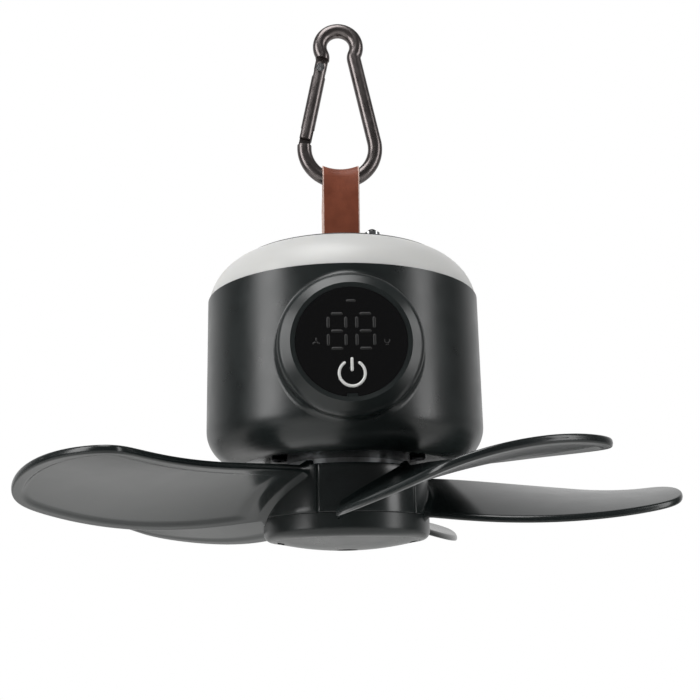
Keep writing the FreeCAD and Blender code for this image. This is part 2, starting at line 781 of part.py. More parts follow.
def deck():
    """Inner floor of the light ring, with posts that carry the cover."""
    plate = rod(INNER_R - DECK_CLEAR, DECK_UNDER, DECK_TOP)
    parts = [plate]
    for x, y in cover_screw_places():
        parts.append(rod(DECK_POST_D / 2, DECK_TOP, COVER_UNDER - PLUG_H, x, y))
    for x, y in standoff_places():
        parts.append(rod(STANDOFF_D / 2, DECK_TOP, MAIN_BOARD_Z, x, y))
    shape = united(parts)
    seat = COVER_TOP - COVER_SCREW_HEAD_H
    for x, y in cover_screw_places():
        shape = shape.cut(rod(COVER_SCREW_D / 2, seat - COVER_SCREW_L, COVER_TOP, x, y))
    for x, y in deck_screw_places():
        shape = shape.cut(rod(DECK_SCREW_D / 2, DECK_UNDER - PAST, DECK_TOP + PAST, x, y))
        shape = shape.cut(rod(DECK_SCREW_HEAD_D / 2 + DECK_CLEAR, DECK_TOP - DECK_SCREW_HEAD_H,
                              DECK_TOP + PAST, x, y))
    return shape


def deck_screws():
    """Screws from the deck down into the housing, their heads sunk under the light board."""
    seat = DECK_TOP - DECK_SCREW_HEAD_H
    return Part.makeCompound([
        screw(x, y, seat, DECK_SCREW_L, DECK_SCREW_D, DECK_SCREW_HEAD_D, DECK_SCREW_HEAD_H)
        for x, y in deck_screw_places()])


def main_board():
    """Control board on the deck's standoffs, cut away round the cover's posts."""
    board = rod(MAIN_BOARD_D / 2, MAIN_BOARD_Z, MAIN_BOARD_Z + BOARD_T)
    for x, y in cover_screw_places():
        board = board.cut(rod(DECK_POST_D / 2 + DECK_CLEAR, MAIN_BOARD_Z - PAST, COVER_TOP, x, y))
    return board


# Main housing

def housing_shell(radius, corner, low, high):
    """Solid drum with a rounded lower edge."""
    flat = radius - corner
    diagonal = corner * math.sqrt(0.5)
    a, b = V(0, 0, low), V(flat, 0, low)
    c, d, e = V(radius, 0, low + corner), V(radius, 0, high), V(0, 0, high)
    knee = V(flat + diagonal, 0, low + corner - diagonal)
    return turned([bar(a, b), bow(b, knee, c), bar(c, d), bar(d, e), bar(e, a)])


def boss_plug():
    """Round plug of the display boss: flat face, sloping border and rounded rim."""
    slope = math.radians(BOSS_SLOPE)
    radius, face, foot = BOSS_D / 2, -BOSS_FACE_Y, BODY_R / 2
    border_r = radius - BOSS_ROUND_R * (1 - math.sin(slope))
    border_top = face - (border_r - BEVEL_D / 2) * math.tan(slope)
    centre = V(radius - BOSS_ROUND_R, 0, border_top - BOSS_ROUND_R * math.cos(slope))
    half_turn = (slope + math.pi / 2) / 2
    knee = centre + V(BOSS_ROUND_R * math.sin(half_turn), 0, BOSS_ROUND_R * math.cos(half_turn))
    a, b, c = V(0, 0, foot), V(radius, 0, foot), V(radius, 0, centre.z)
    d, e, f = V(border_r, 0, border_top), V(BEVEL_D / 2, 0, face), V(0, 0, face)
    plug = turned([bar(a, b), bar(b, c), bow(c, knee, d), bar(d, e), bar(e, f), bar(f, a)])
    plug.rotate(V(0, 0, 0), V(1, 0, 0), 90)
    return plug.translated(V(0, 0, LENS_Z))


def drum_with_boss():
    """Solid drum with the round display boss, blended at its foot."""
    drum = housing_shell(BODY_R, HOUSING_CORNER_R, BASE_Z, SEAM_Z)
    solid = drum.fuse(boss_plug()).removeSplitter()
    foot = [e for e in solid.Edges if e.Curve.TypeId == "Part::GeomBSplineCurve"]
    return solid.makeFillet(BOSS_BLEND_R, foot)


def window_cut():
    """Bevel, lens pocket and bore through the boss, with the notch's tab left standing."""
    pocket_r = LENS_D / 2 + LENS_CLEAR
    bevel = Part.makeCone(BEVEL_D / 2, pocket_r, BEVEL_DEPTH, V(0, BOSS_FACE_Y, LENS_Z), V(0, 1, 0))
    pocket = rod_y(pocket_r, LENS_Y, SHOULDER_Y, 0, LENS_Z)
    pocket = pocket.cut(notch(0.0))
    bore = rod_y(WINDOW_BORE_R, SHOULDER_Y, -BODY_R / 2, 0, LENS_Z)
    return united([bevel, pocket, bore])


def notch(spare):
    """Small locating tab at the bottom of the window, widened by the spare for its slot."""
    half = NOTCH_W / 2 + spare
    low = LENS_Z - LENS_D / 2 - LENS_CLEAR * 2
    top = low + NOTCH_H + spare + LENS_CLEAR
    return block(-half, half, LENS_Y - PAST, SHOULDER_Y + PAST, low - PAST, top)


def main_housing():
    """Drum with the display boss, a ledge for the bottom plate and posts for the deck."""
    outer = housing_shell(BODY_R, HOUSING_CORNER_R, BASE_Z, SEAM_Z)
    inner = housing_shell(INNER_R, HOUSING_CORNER_R - WALL_T, BASE_Z + WALL_T, SEAM_Z + PAST)
    shell = drum_with_boss().cut(inner)
    fittings = [tube(BODY_R, PLATE_HOLE_R - LEDGE_W, LEDGE_Z, LEDGE_TOP)]
    for x, y in deck_screw_places():
        fittings.append(rod(POST_D / 2, BASE_Z + WALL_T, DECK_UNDER, x, y))
    shelf_z = USB_Z - USB_H / 2 - USB_BOARD_T
    shelf_w = USB_BOARD_W / 2
    fittings.append(block(-shelf_w, shelf_w, usb_board_y() - USB_BOARD_L, BODY_R,
                          shelf_z - USB_SHELF_T, shelf_z))
    kept = [piece.common(outer) for piece in fittings]
    shell = shell.multiFuse(kept)
    shell = shell.cut(rod(PLATE_HOLE_R, BASE_Z - PAST, LEDGE_Z))
    shell = shell.cut(rod(PLATE_HOLE_R - LEDGE_W, LEDGE_Z - PAST, LEDGE_TOP + PAST))
    shell = shell.cut(window_cut())
    opening = USB_CLEAR
    shell = shell.cut(block(-USB_W / 2 - opening, USB_W / 2 + opening, usb_board_y(), BODY_R + PAST,
                            USB_Z - USB_H / 2 - opening, USB_Z + USB_H / 2 + opening))
    screw_end = DECK_TOP - DECK_SCREW_HEAD_H - DECK_SCREW_L
    for x, y in deck_screw_places():
        shell = shell.cut(rod(DECK_SCREW_D / 2, screw_end, DECK_TOP, x, y))
    for x, y in plate_screw_places():
        shell = shell.cut(rod(PLATE_SCREW_D / 2, BASE_Z, BASE_Z + PLATE_SCREW_L, x, y))
    screw_end = HOLDER_Z + HOLDER_T - HOLDER_SCREW_L
    for x, y in holder_leg_places():
        shell = shell.cut(rod(HOLDER_SCREW_D / 2, screw_end, LEDGE_TOP + PAST, x, y))
    return shell.removeSplitter()


# Display

def display_lens():
    """Black window with its locating notch."""
    return rod_y(LENS_D / 2, LENS_Y, SHOULDER_Y, 0, LENS_Z).cut(notch(LENS_CLEAR))


def display_carrier():
    """Cup behind the window that holds the display and its board."""
    outer = WINDOW_BORE_R - CARRIER_CLEAR
    inner = outer - CARRIER_T
    end = SHOULDER_Y + CARRIER_L
    cup = rod_y(outer, SHOULDER_Y, end, 0, LENS_Z)
    cup = cup.cut(rod_y(inner, SHOULDER_Y - PAST, end + PAST, 0, LENS_Z))
    step = rod_y(outer, SHOULDER_Y + MODULE_T - CARRIER_T, SHOULDER_Y + MODULE_T, 0, LENS_Z)
    step = step.cut(rod_y(inner - CARRIER_T, SHOULDER_Y, end, 0, LENS_Z))
    step = step.cut(block(-MODULE_W / 2 - CARRIER_CLEAR, MODULE_W / 2 + CARRIER_CLEAR, SHOULDER_Y, end,
                          LENS_Z + MODULE_UP - MODULE_H / 2 - CARRIER_CLEAR,
                          LENS_Z + MODULE_UP + MODULE_H / 2 + CARRIER_CLEAR))
    return united([cup, step.common(rod_y(outer, SHOULDER_Y, end, 0, LENS_Z))])


def display_board():
    """Board that carries the digits and the touch spring."""
    radius = WINDOW_BORE_R - CARRIER_CLEAR - CARRIER_T - CARRIER_CLEAR
    front = SHOULDER_Y + MODULE_T
    return rod_y(radius, front, front + BOARD_T, 0, LENS_Z)


def digit_module():
    """Two-digit light module between the board and the window."""
    z = LENS_Z + MODULE_UP
    gap = CARRIER_CLEAR
    return block(-MODULE_W / 2, MODULE_W / 2, SHOULDER_Y + gap, SHOULDER_Y + MODULE_T,
                 z - MODULE_H / 2, z + MODULE_H / 2)


def touch_spring():
    """Sensing spring behind the power symbol."""
    z = LENS_Z - TOUCH_DOWN
    radius = TOUCH_D / 2
    spring = rod_y(radius, SHOULDER_Y, SHOULDER_Y + MODULE_T, 0, z)
    return spring.cut(rod_y(radius - TOUCH_WIRE, SHOULDER_Y - PAST, SHOULDER_Y + MODULE_T + PAST, 0, z))


def power_icon():
    """Power symbol laid on the window: a broken ring and a bar."""
    z = LENS_Z - TOUCH_DOWN
    outer = ICON_D / 2
    front = LENS_Y - ICON_T
    ring = rod_y(outer, front, LENS_Y, 0, z)
    ring = ring.cut(rod_y(outer - ICON_STROKE, front - PAST, LENS_Y + PAST, 0, z))
    ring = ring.cut(block(-ICON_GAP_W / 2, ICON_GAP_W / 2, front - PAST, LENS_Y + PAST, z, z + ICON_D))
    half = ICON_STROKE / 2
    top = z + outer + half
    line = block(-half, half, front, LENS_Y, top - ICON_BAR_L, top)
    return Part.makeCompound([ring, line])


# Batteries

def holder_leg_places():
    """Feet of the battery holder on the housing's ledge."""
    return [(x, y) for x in (-HOLDER_LEG_X, HOLDER_LEG_X) for y in (-HOLDER_LEG_Y, HOLDER_LEG_Y)]


def cell_places():
    """Axes of the four cells, two side by side in two layers."""
    side = (CELL_D + CELL_GAP) / 2
    low = HOLDER_Z + HOLDER_T + CELL_GAP + CELL_D / 2
    return [(y, z) for y in (-side, side) for z in (low, low + CELL_D + CELL_GAP)]


def battery_cells():
    """Four cylindrical cells lying across the body, each with its raised terminal."""
    cells = []
    for y, z in cell_places():
        can = Part.makeCylinder(CELL_D / 2, CELL_L - CELL_TERMINAL_H, V(-CELL_L / 2, y, z), V(1, 0, 0))
        nub = Part.makeCylinder(CELL_TERMINAL_D / 2, CELL_TERMINAL_H,
                                V(CELL_L / 2 - CELL_TERMINAL_H, y, z), V(1, 0, 0))
        cells.append(can.fuse(nub))
    return Part.makeCompound(cells)


def battery_holder():
    """Tray on four feet with an end wall at each end of the cells."""
    inner = CELL_L / 2 + CELL_GAP
    half_x = inner + HOLDER_WALL_T
    half_y = CELL_D + CELL_GAP * 2
    top = cell_places()[-1][1] + CELL_D / 2
    parts = [block(-half_x, half_x, -half_y, half_y, HOLDER_Z, HOLDER_Z + HOLDER_T)]
    for x0 in (inner, -half_x):
        parts.append(block(x0, x0 + HOLDER_WALL_T, -half_y, half_y, HOLDER_Z, top))
    for x, y in holder_leg_places():
        parts.append(rod(HOLDER_LEG_D / 2, LEDGE_TOP, HOLDER_Z, x, y))
    tray = united(parts)
    for x, y in holder_leg_places():
        tray = tray.cut(rod(HOLDER_SCREW_D / 2, LEDGE_TOP - PAST, HOLDER_Z + HOLDER_T + PAST, x, y))
    return tray


def holder_screws():
    """Screws through the holder's feet into the housing's ledge."""
    seat = HOLDER_Z + HOLDER_T
    return Part.makeCompound([
        screw(x, y, seat, HOLDER_SCREW_L, HOLDER_SCREW_D, HOLDER_SCREW_HEAD_D, HOLDER_SCREW_HEAD_H)
        for x, y in holder_leg_places()])


# Charging socket

def usb_board_y():
    """Inner face of the wall at the socket's corners."""
    half = USB_BOARD_W / 2
    return math.sqrt(INNER_R ** 2 - half ** 2)


def usb_board():
    """Small board on the housing's shelf under the charging socket."""
    y1 = usb_board_y()
    z1 = USB_Z - USB_H / 2
    return block(-USB_BOARD_W / 2, USB_BOARD_W / 2, y1 - USB_BOARD_L, y1, z1 - USB_BOARD_T, z1)


def usb_socket():
    """Metal shell of the charging socket with its contact tongue."""
    y1 = BODY_R - WALL_T / 2
    y0 = y1 - USB_L
    outer = block(-USB_W / 2, USB_W / 2, y0, y1, USB_Z - USB_H / 2, USB_Z + USB_H / 2)
    w, h = USB_W / 2 - USB_SHELL_T, USB_H / 2 - USB_SHELL_T
    outer = outer.cut(block(-w, w, y0 + USB_SHELL_T, y1 + PAST, USB_Z - h, USB_Z + h))
    tongue = block(-USB_TONGUE_W / 2, USB_TONGUE_W / 2, y0, y1 - USB_TONGUE_T * 2,
                   USB_Z - USB_TONGUE_T / 2, USB_Z + USB_TONGUE_T / 2)
    return united([outer, tongue])


# Bottom plate and motor

def plate_screw_places():
    """Four screws that hold the bottom plate to the ledge."""
    return [ring_place(PLATE_HOLE_R - PLATE_SCREW_IN, PLATE_SCREW_ANGLE + i * 90) for i in range(4)]


def mount_screw_places():
    """Three screws that hold the motor mount to the bottom plate."""
    return [ring_place(MOUNT_SCREW_PCD / 2, i * 120) for i in range(3)]


def bottom_plate():
    """Round plate that closes the body and carries the motor."""
    plate = tube(PLATE_HOLE_R - PLATE_CLEAR, PLATE_HOLE_D / 2, BASE_Z, BASE_Z + PLATE_T)
    for x, y in plate_screw_places():
        plate = plate.cut(rod(PLATE_SCREW_D / 2, BASE_Z - PAST, LEDGE_TOP, x, y))
    for x, y in mount_screw_places():
        plate = plate.cut(rod(MOUNT_SCREW_D / 2, BASE_Z - PAST, LEDGE_TOP, x, y))
    return plate


def plate_screws():
    """Pan-head screws under the bottom plate."""
    return Part.makeCompound([
        screw(x, y, BASE_Z, PLATE_SCREW_L, PLATE_SCREW_D, PLATE_SCREW_HEAD_D, PLATE_SCREW_HEAD_H, False)
        for x, y in plate_screw_places()])


def motor_mount():
    """Flange and tube that hold the stator outside and two bearings inside."""
    flange = rod(MOUNT_FLANGE_D / 2, MOUNT_UNDER, BASE_Z)
    mount = flange.fuse(rod(MOUNT_TUBE_D / 2, TUBE_BOTTOM, MOUNT_UNDER))
    mount = mount.cut(rod(BEARING_D / 2 - BEARING_LIP, TUBE_BOTTOM - PAST, BASE_Z + PAST))
    mount = mount.cut(rod(BEARING_D / 2, TUBE_BOTTOM - PAST, TUBE_BOTTOM + BEARING_W))
    mount = mount.cut(rod(BEARING_D / 2, BASE_Z - BEARING_W, BASE_Z + PAST))
    seat = MOUNT_UNDER + MOUNT_SCREW_HEAD_H
    for x, y in mount_screw_places():
        mount = mount.cut(rod(MOUNT_SCREW_D / 2, MOUNT_UNDER - PAST, BASE_Z + PAST, x, y))
        mount = mount.cut(rod(MOUNT_SCREW_HEAD_D / 2 + BUTTON_CLEAR, MOUNT_UNDER - PAST, seat, x, y))
    return mount.removeSplitter()


def mount_screws():
    """Screws up through the motor mount into the bottom plate."""
    seat = MOUNT_UNDER + MOUNT_SCREW_HEAD_H
    return Part.makeCompound([
        screw(x, y, seat, MOUNT_SCREW_L, MOUNT_SCREW_D, MOUNT_SCREW_HEAD_D, MOUNT_SCREW_HEAD_H, False)
        for x, y in mount_screw_places()])


def bearings():
    """Two ball bearings, one at each end of the tube."""
    bore = SHAFT_D / 2 + SHAFT_CLEAR
    lower = tube(BEARING_D / 2, bore, TUBE_BOTTOM, TUBE_BOTTOM + BEARING_W)
    upper = tube(BEARING_D / 2, bore, BASE_Z - BEARING_W, BASE_Z)
    return Part.makeCompound([lower, upper])


def stator_core():
    """Laminated core on the tube, with evenly spaced teeth."""
    z0, z1 = STATOR_TOP - STATOR_H, STATOR_TOP
    inner = MOUNT_TUBE_D / 2
    radius = STATOR_D / 2
    tooth = block(inner + STATOR_HUB_T / 2, radius - TOOTH_TIP_T / 2, -TOOTH_W / 2, TOOTH_W / 2, z0, z1)
    half = math.radians(180.0 / TOOTH_COUNT * TOOTH_TIP_SHARE)
    wedge_r = radius * 2
    wedge = Part.Face(Part.Wire(chain([
        V(0, 0, z0), V(wedge_r * math.cos(half), -wedge_r * math.sin(half), z0),
        V(wedge_r * math.cos(half), wedge_r * math.sin(half), z0)]))).extrude(V(0, 0, STATOR_H))
    tip = tube(radius, radius - TOOTH_TIP_T, z0, z1).common(wedge)
    teeth = ring_of(united([tooth, tip]), TOOTH_COUNT)
    return united([tube(inner + STATOR_HUB_T, inner, z0, z1)] + teeth)


def stator_coils():
    """Copper coil round each tooth."""
    z0, z1 = STATOR_TOP - STATOR_H, STATOR_TOP
    near = MOUNT_TUBE_D / 2 + STATOR_HUB_T + COIL_T / 4
    far = STATOR_D / 2 - TOOTH_TIP_T - COIL_T / 4
    half = TOOTH_W / 2
    outer = block(near, far, -half - COIL_T, half + COIL_T, z0 - COIL_T, z1 + COIL_T)
    coil = outer.cut(block(near - PAST, far + PAST, -half, half, z0, z1))
    lean = math.radians(180.0 / TOOTH_COUNT)
    reach = STATOR_D
    side = V(reach * math.cos(lean), reach * math.sin(lean) - BUTTON_CLEAR, z0 - COIL_T)
    wedge = Part.Face(Part.Wire(chain([V(BUTTON_CLEAR * 2, 0, side.z), V(side.x, -side.y, side.z), side])))
    coil = coil.common(wedge.extrude(V(0, 0, STATOR_H + COIL_T * 2)))
    return Part.makeCompound(ring_of(coil, TOOTH_COUNT))


def motor_board():
    """Ring-shaped drive board between the flange and the coils."""
    top = MOUNT_UNDER - MOTOR_BOARD_SINK + MOUNT_FLANGE_T
    return tube(MOTOR_BOARD_D / 2, MOUNT_TUBE_D / 2, top - MOTOR_BOARD_T, top)


# Rotor

def hub_core():
    """Hub cup: skirt with a rounded lower lip, floor, shaft boss and wall with blade slots."""
    lip_r = HUB_R - HUB_LIP_ROUND
    diagonal = HUB_LIP_ROUND * math.sqrt(0.5)
    skirt_top = LIP_Z + HUB_SKIRT_H
    a, b = V(0, 0, LIP_Z), V(lip_r, 0, LIP_Z)
    knee = V(lip_r + diagonal, 0, LIP_Z + HUB_LIP_ROUND - diagonal)
    c, d, e = V(HUB_R, 0, LIP_Z + HUB_LIP_ROUND), V(HUB_R, 0, skirt_top), V(0, 0, skirt_top)
    core = turned([bar(a, b), bow(b, knee, c), bar(c, d), bar(d, e), bar(e, a)])
    core = core.fuse(rod(CORE_R, skirt_top, HUB_TOP))
    core = core.cut(rod(YOKE_R, FLOOR_TOP, HUB_TOP + PAST))
    core = core.cut(rod(CAP_SEAT_D / 2, LIP_Z - PAST, FLOOR_Z))
    boss = rod(HUB_BOSS_D / 2, FLOOR_Z - HUB_BOSS_DOWN, FLOOR_TOP + HUB_BOSS_UP)
    core = core.fuse(boss)
    core = core.cut(rod(SHAFT_D / 2, SHAFT_BOTTOM, HUB_TOP))
    core = core.cut(rod(CAP_SCREW_D / 2, LIP_Z - PAST, SHAFT_BOTTOM))
    slot = blade_rib(RIB_CLEAR)
    for i in range(BLADE_COUNT):
        angle = PANEL_MID_AZIMUTH + i * PANEL_SPAN
        core = core.cut(spun(slot, angle))
        x, y = ring_place(blade_screw_r(), angle)
        core = core.cut(rod(BLADE_SCREW_D / 2, FLOOR_Z, PANEL_Z + RIB_DROP, x, y))
        core = core.cut(rod(BLADE_SCREW_HEAD_D / 2 + RIB_CLEAR, LIP_Z - PAST, screw_seat(), x, y))
    return core.removeSplitter()


def screw_seat():
    """Height at which the blade screws' heads stop under the hub's floor."""
    return FLOOR_Z + BLADE_SCREW_HEAD_H


def blade_screw_r():
    """Radius of the blade screws, whose heads pass just inside the cap's seat."""
    return CAP_SEAT_D / 2 - BLADE_SCREW_HEAD_D / 2 - RIB_CLEAR * 2


def blade_rib(spare):
    """T-shaped rib along +X, widened by the spare where it cuts its slot."""
    low = PANEL_Z + RIB_DROP - spare
    high = HUB_TOP + (1.0 if spare > 0 else -spare)
    neck = block(RIB_HEAD_R - spare, HUB_R - PANEL_T / 2, -RIB_NECK_W / 2 - spare,
                 RIB_NECK_W / 2 + spare, low, high)
    head = block(RIB_HEAD_R - RIB_HEAD_T - spare, RIB_HEAD_R + spare, -RIB_HEAD_W / 2 - spare,
                 RIB_HEAD_W / 2 + spare, low, high)
    return neck.fuse(head)


def blade_share(radius):
    """Share of the blade's reach at a distance from the hub's axis."""
    return (radius - CORE_R) / (BLADE_REACH - CORE_R)


def blade_height(x, y):
    """Height of the twisted, slightly arched middle surface of the blade that points along +X."""
    share = blade_share(x)
    rise = cubic(RISE_ROOT, RISE_NEAR, RISE_FAR, RISE_TIP, share)
    pitch = math.radians(quadratic(PITCH_ROOT_ANGLE, PITCH_MID_ANGLE, PITCH_TIP_ANGLE, share))
    return LIP_Z + rise + y * math.tan(pitch) - y * y / (2 * CAMBER_R)


def blade_edge(x, shift, side):
    """Points across the blade's plate at one distance, from one side to the other."""
    wide = HALF_CHORD_TIP * 2
    return [V(x, side * wide * k / 3, blade_height(x, side * wide * k / 3) + shift) for k in range(-3, 4)]


def smooth(points):
    """Smooth edge through points."""
    curve = Part.BSplineCurve()
    curve.interpolate(points)
    return curve.toShape()


def blade_plate(shift, thickness):
    """Twisted, arched plate wider than the blade, moved down by the shift."""
    half_t = thickness / 2 / math.cos(math.radians(PITCH_MID_ANGLE))
    sections = []
    for i in range(BLADE_STATIONS):
        x = BLADE_START + (BLADE_REACH + BLADE_T - BLADE_START) * i / (BLADE_STATIONS - 1)
        low = blade_edge(x, -shift - half_t, 1)
        high = blade_edge(x, -shift + half_t, -1)
        sides = [smooth(low), bar(low[-1], high[0]), smooth(high), bar(high[-1], low[0])]
        sections.append(Part.Wire(sides))
    return Part.makeLoft(sections, True, False)


def blade_prism(border):
    """Upright prism of the blade's swept outline with its rounded tip, drawn in by the border."""
    tip = BLADE_REACH - border
    first = BLADE_START + border * 6
    lead, trail = [], []
    for i in range(BLADE_STATIONS * 2 + 1):
        radius = first + (tip - first) * math.sin(math.pi / 2 * i / (BLADE_STATIONS * 2))
        share = (radius - CORE_R) / (tip - CORE_R)
        square = math.sqrt(max(0.0, 1 - max(share, 0.0) ** TIP_SQUARENESS))
        half = (quadratic(HALF_CHORD_ROOT, HALF_CHORD_MID, HALF_CHORD_TIP, share) - border) * square
        middle = cubic(MIDLINE_ROOT_ANGLE, MIDLINE_NEAR_ANGLE, MIDLINE_FAR_ANGLE, MIDLINE_TIP_ANGLE, share)
        turn = math.degrees(half / radius)
        for side, edge in ((-turn, lead), (turn, trail)):
            x, y = ring_place(radius, middle + side)
            edge.append(V(x, y, LIP_Z - HUB_H))
    points = lead + trail[-2::-1]
    outline = Part.Wire([smooth(points), bar(points[-1], points[0])])
    return Part.Face(outline).extrude(V(0, 0, HUB_H * 3))


def blade_along_x():
    """Blade pointing along +X with its curved root panel and rib."""
    plate = blade_plate(0.0, BLADE_T).common(blade_prism(0.0))
    dish = blade_plate(BLADE_T - DISH_DEPTH, BLADE_T).common(blade_prism(DISH_BORDER))
    plate = plate.cut(dish)
    plate = plate.cut(rod(HUB_R - PANEL_T / 2, LIP_Z - HUB_H, BASE_Z + HUB_H))
    plate = plate.cut(rod(HUB_R + PANEL_CLEAR, LIP_Z - HUB_H, PANEL_Z))
    shell = tube(HUB_R, HUB_R - PANEL_T, PANEL_Z, HUB_TOP)
    half = math.radians(PANEL_SPAN / 2) - PANEL_SEAM_GAP / HUB_D
    reach = HUB_D
    wedge = Part.Face(Part.Wire(chain([
        V(0, 0, PANEL_Z), V(reach * math.cos(half), -reach * math.sin(half), PANEL_Z),
        V(reach * math.cos(half), reach * math.sin(half), PANEL_Z)]))).extrude(V(0, 0, HUB_H))
    panel = shell.common(wedge).fuse(blade_rib(0.0))
    panel = spun(panel, PANEL_MID_AZIMUTH - BLADE_AZIMUTH)
    blade = united([panel, plate])
    x, y = ring_place(blade_screw_r(), PANEL_MID_AZIMUTH - BLADE_AZIMUTH)
    top = screw_seat() + BLADE_SCREW_L
    return blade.cut(rod(BLADE_SCREW_D / 2, LIP_Z, top, x, y))


def blade_screws():
    """Screws from under the hub's floor up into each blade's rib."""
    places = [ring_place(blade_screw_r(), PANEL_MID_AZIMUTH + i * PANEL_SPAN) for i in range(BLADE_COUNT)]
    return Part.makeCompound([
        screw(x, y, screw_seat(), BLADE_SCREW_L, BLADE_SCREW_D, BLADE_SCREW_HEAD_D,
              BLADE_SCREW_HEAD_H, False)
        for x, y in places])


def rotor_yoke():
    """Steel cup pressed into the hub."""
    wall = tube(YOKE_R, MAGNET_R, FLOOR_TOP, FLOOR_TOP + YOKE_H)
    floor = tube(YOKE_R, YOKE_R - YOKE_FLOOR_W, FLOOR_TOP, FLOOR_TOP + YOKE_T)
    return wall.fuse(floor).removeSplitter()


def magnet_ring():
    """Ring magnet inside the yoke, level with the stator."""
    middle = STATOR_TOP - STATOR_H / 2
    return tube(MAGNET_R, MAGNET_R - MAGNET_T, middle - MAGNET_H / 2, middle + MAGNET_H / 2)


def motor_shaft():
    """Shaft pressed into the hub and running in both bearings."""
    return rod(SHAFT_D / 2, SHAFT_BOTTOM, BASE_Z + CIRCLIP_T * 3)


def shaft_clip():
    """Clip on the shaft's top end, just above the upper bearing."""
    z0 = BASE_Z + CIRCLIP_T / 2
    return tube(CIRCLIP_D / 2, SHAFT_D / 2, z0, z0 + CIRCLIP_T)


def hub_cap():
    """Shallow domed cap with a screw recess and two finger grips."""
    radius = CAP_SEAT_D / 2 - CAP_CLEAR
    ball_r = (radius ** 2 + CAP_SAG ** 2) / (2 * CAP_SAG)
    centre = V(0, 0, LIP_Z - CAP_SAG + ball_r)
    outer = Part.makeSphere(ball_r, centre).common(rod(radius, LIP_Z - CAP_SAG, FLOOR_Z))
    inner = Part.makeSphere(ball_r - CAP_T, centre).common(rod(radius - CAP_T, LIP_Z - CAP_SAG, FLOOR_Z))
    inner = inner.fuse(rod(radius - CAP_T, LIP_Z + CAP_T / 2, FLOOR_Z))
    cap = outer.cut(inner)
    boss_top = FLOOR_Z - HUB_BOSS_DOWN
    cap = cap.fuse(rod(HUB_BOSS_D / 2, LIP_Z - CAP_SAG + CAP_RECESS_DEPTH, boss_top))
    seat = LIP_Z - CAP_SAG + CAP_RECESS_DEPTH
    cap = cap.cut(rod(CAP_RECESS_D / 2, LIP_Z - CAP_SAG - PAST, seat))
    cap = cap.cut(rod(CAP_SCREW_D / 2, seat - PAST, boss_top + PAST))
    for x in (-CAP_GRIP_R, CAP_GRIP_R):
        surface = centre.z - math.sqrt(ball_r ** 2 - CAP_GRIP_R ** 2)
        grip = block(x - CAP_GRIP_L / 2, x + CAP_GRIP_L / 2, -CAP_GRIP_W / 2, CAP_GRIP_W / 2,
                     LIP_Z - CAP_SAG, surface + CAP_GRIP_DEPTH)
        cap = cap.cut(grip)
    return cap.removeSplitter()


def cap_screw():
    """Screw that holds the cap to the hub's boss."""
    seat = LIP_Z - CAP_SAG + CAP_RECESS_DEPTH
    return screw(0, 0, seat, SHAFT_BOTTOM - seat, CAP_SCREW_D, CAP_SCREW_HEAD_D, CAP_SCREW_HEAD_H, False)


PIECES = {
    "carabiner_frame": carabiner_frame, "carabiner_gate": carabiner_gate,
    "gate_spring": gate_spring, "gate_rivet": gate_rivet,
    "strap_loop": strap_loop, "strap_screws": strap_screws, "strap_nuts": strap_nuts,
    "top_cover": top_cover, "cover_screws": cover_screws,
    "button_bezel": button_bezel, "light_button": light_button, "light_switch": light_switch,
    "diffuser_ring": diffuser_ring, "led_board": led_board, "led_chips": led_chips,
    "deck": deck, "deck_screws": deck_screws, "main_board": main_board,
    "main_housing": main_housing, "display_lens": display_lens,
    "display_carrier": display_carrier, "display_board": display_board,
    "digit_module": digit_module, "touch_spring": touch_spring, "power_icon": power_icon,
    "battery_cells": battery_cells, "battery_holder": battery_holder, "holder_screws": holder_screws,
    "usb_board": usb_board, "usb_socket": usb_socket,
    "bottom_plate": bottom_plate, "plate_screws": plate_screws,
    "motor_mount": motor_mount, "mount_screws": mount_screws, "bearings": bearings,
    "stator_core": stator_core, "stator_coils": stator_coils, "motor_board": motor_board,
    "hub_core": hub_core, "blade_screws": blade_screws,
    "rotor_yoke": rotor_yoke, "magnet_ring": magnet_ring,
    "motor_shaft": motor_shaft, "shaft_clip": shaft_clip,
    "hub_cap": hub_cap, "cap_screw": cap_screw,
}


def save(name, shape):
    """Write one piece and print what it holds."""
    if not shape.isValid():
        print("not valid:", name)
    shape.exportStep("parts/" + name + ".step")
    print(name, "solids", len(shape.Solids), "volume", round(shape.Volume, 1))


def main():
    """Build every piece and the five blades."""
    os.makedirs("parts", exist_ok=True)
    for name, make in PIECES.items():
        save(name, make())
    blade = blade_along_x()
    for i in range(BLADE_COUNT):
        save("blade_" + str(i + 1), spun(blade, BLADE_AZIMUTH + i * PANEL_SPAN))
    print("rivet", rivet_place(), "pivot", PIVOT_Z, "lip", LIP_Z, "base", BASE_Z, "seam", SEAM_Z)


main()
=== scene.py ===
# %% [markdown]
# A hanging camping fan, dressed for its portrait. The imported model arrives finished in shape: every
# shell, screw and shaft stands where it belongs. This notebook gives each piece the surface it has
# in the hand, and makes anew the few pieces whose charm lies in their surface: the leather strap, the
# blades, the closing spring, the screw heads and the faint marks on the window. The other way would be
# to model everything again by eye, which would never fit the joints as well as the model does.

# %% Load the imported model
import math

import bpy
import numpy as np
from mathutils import Matrix, Vector


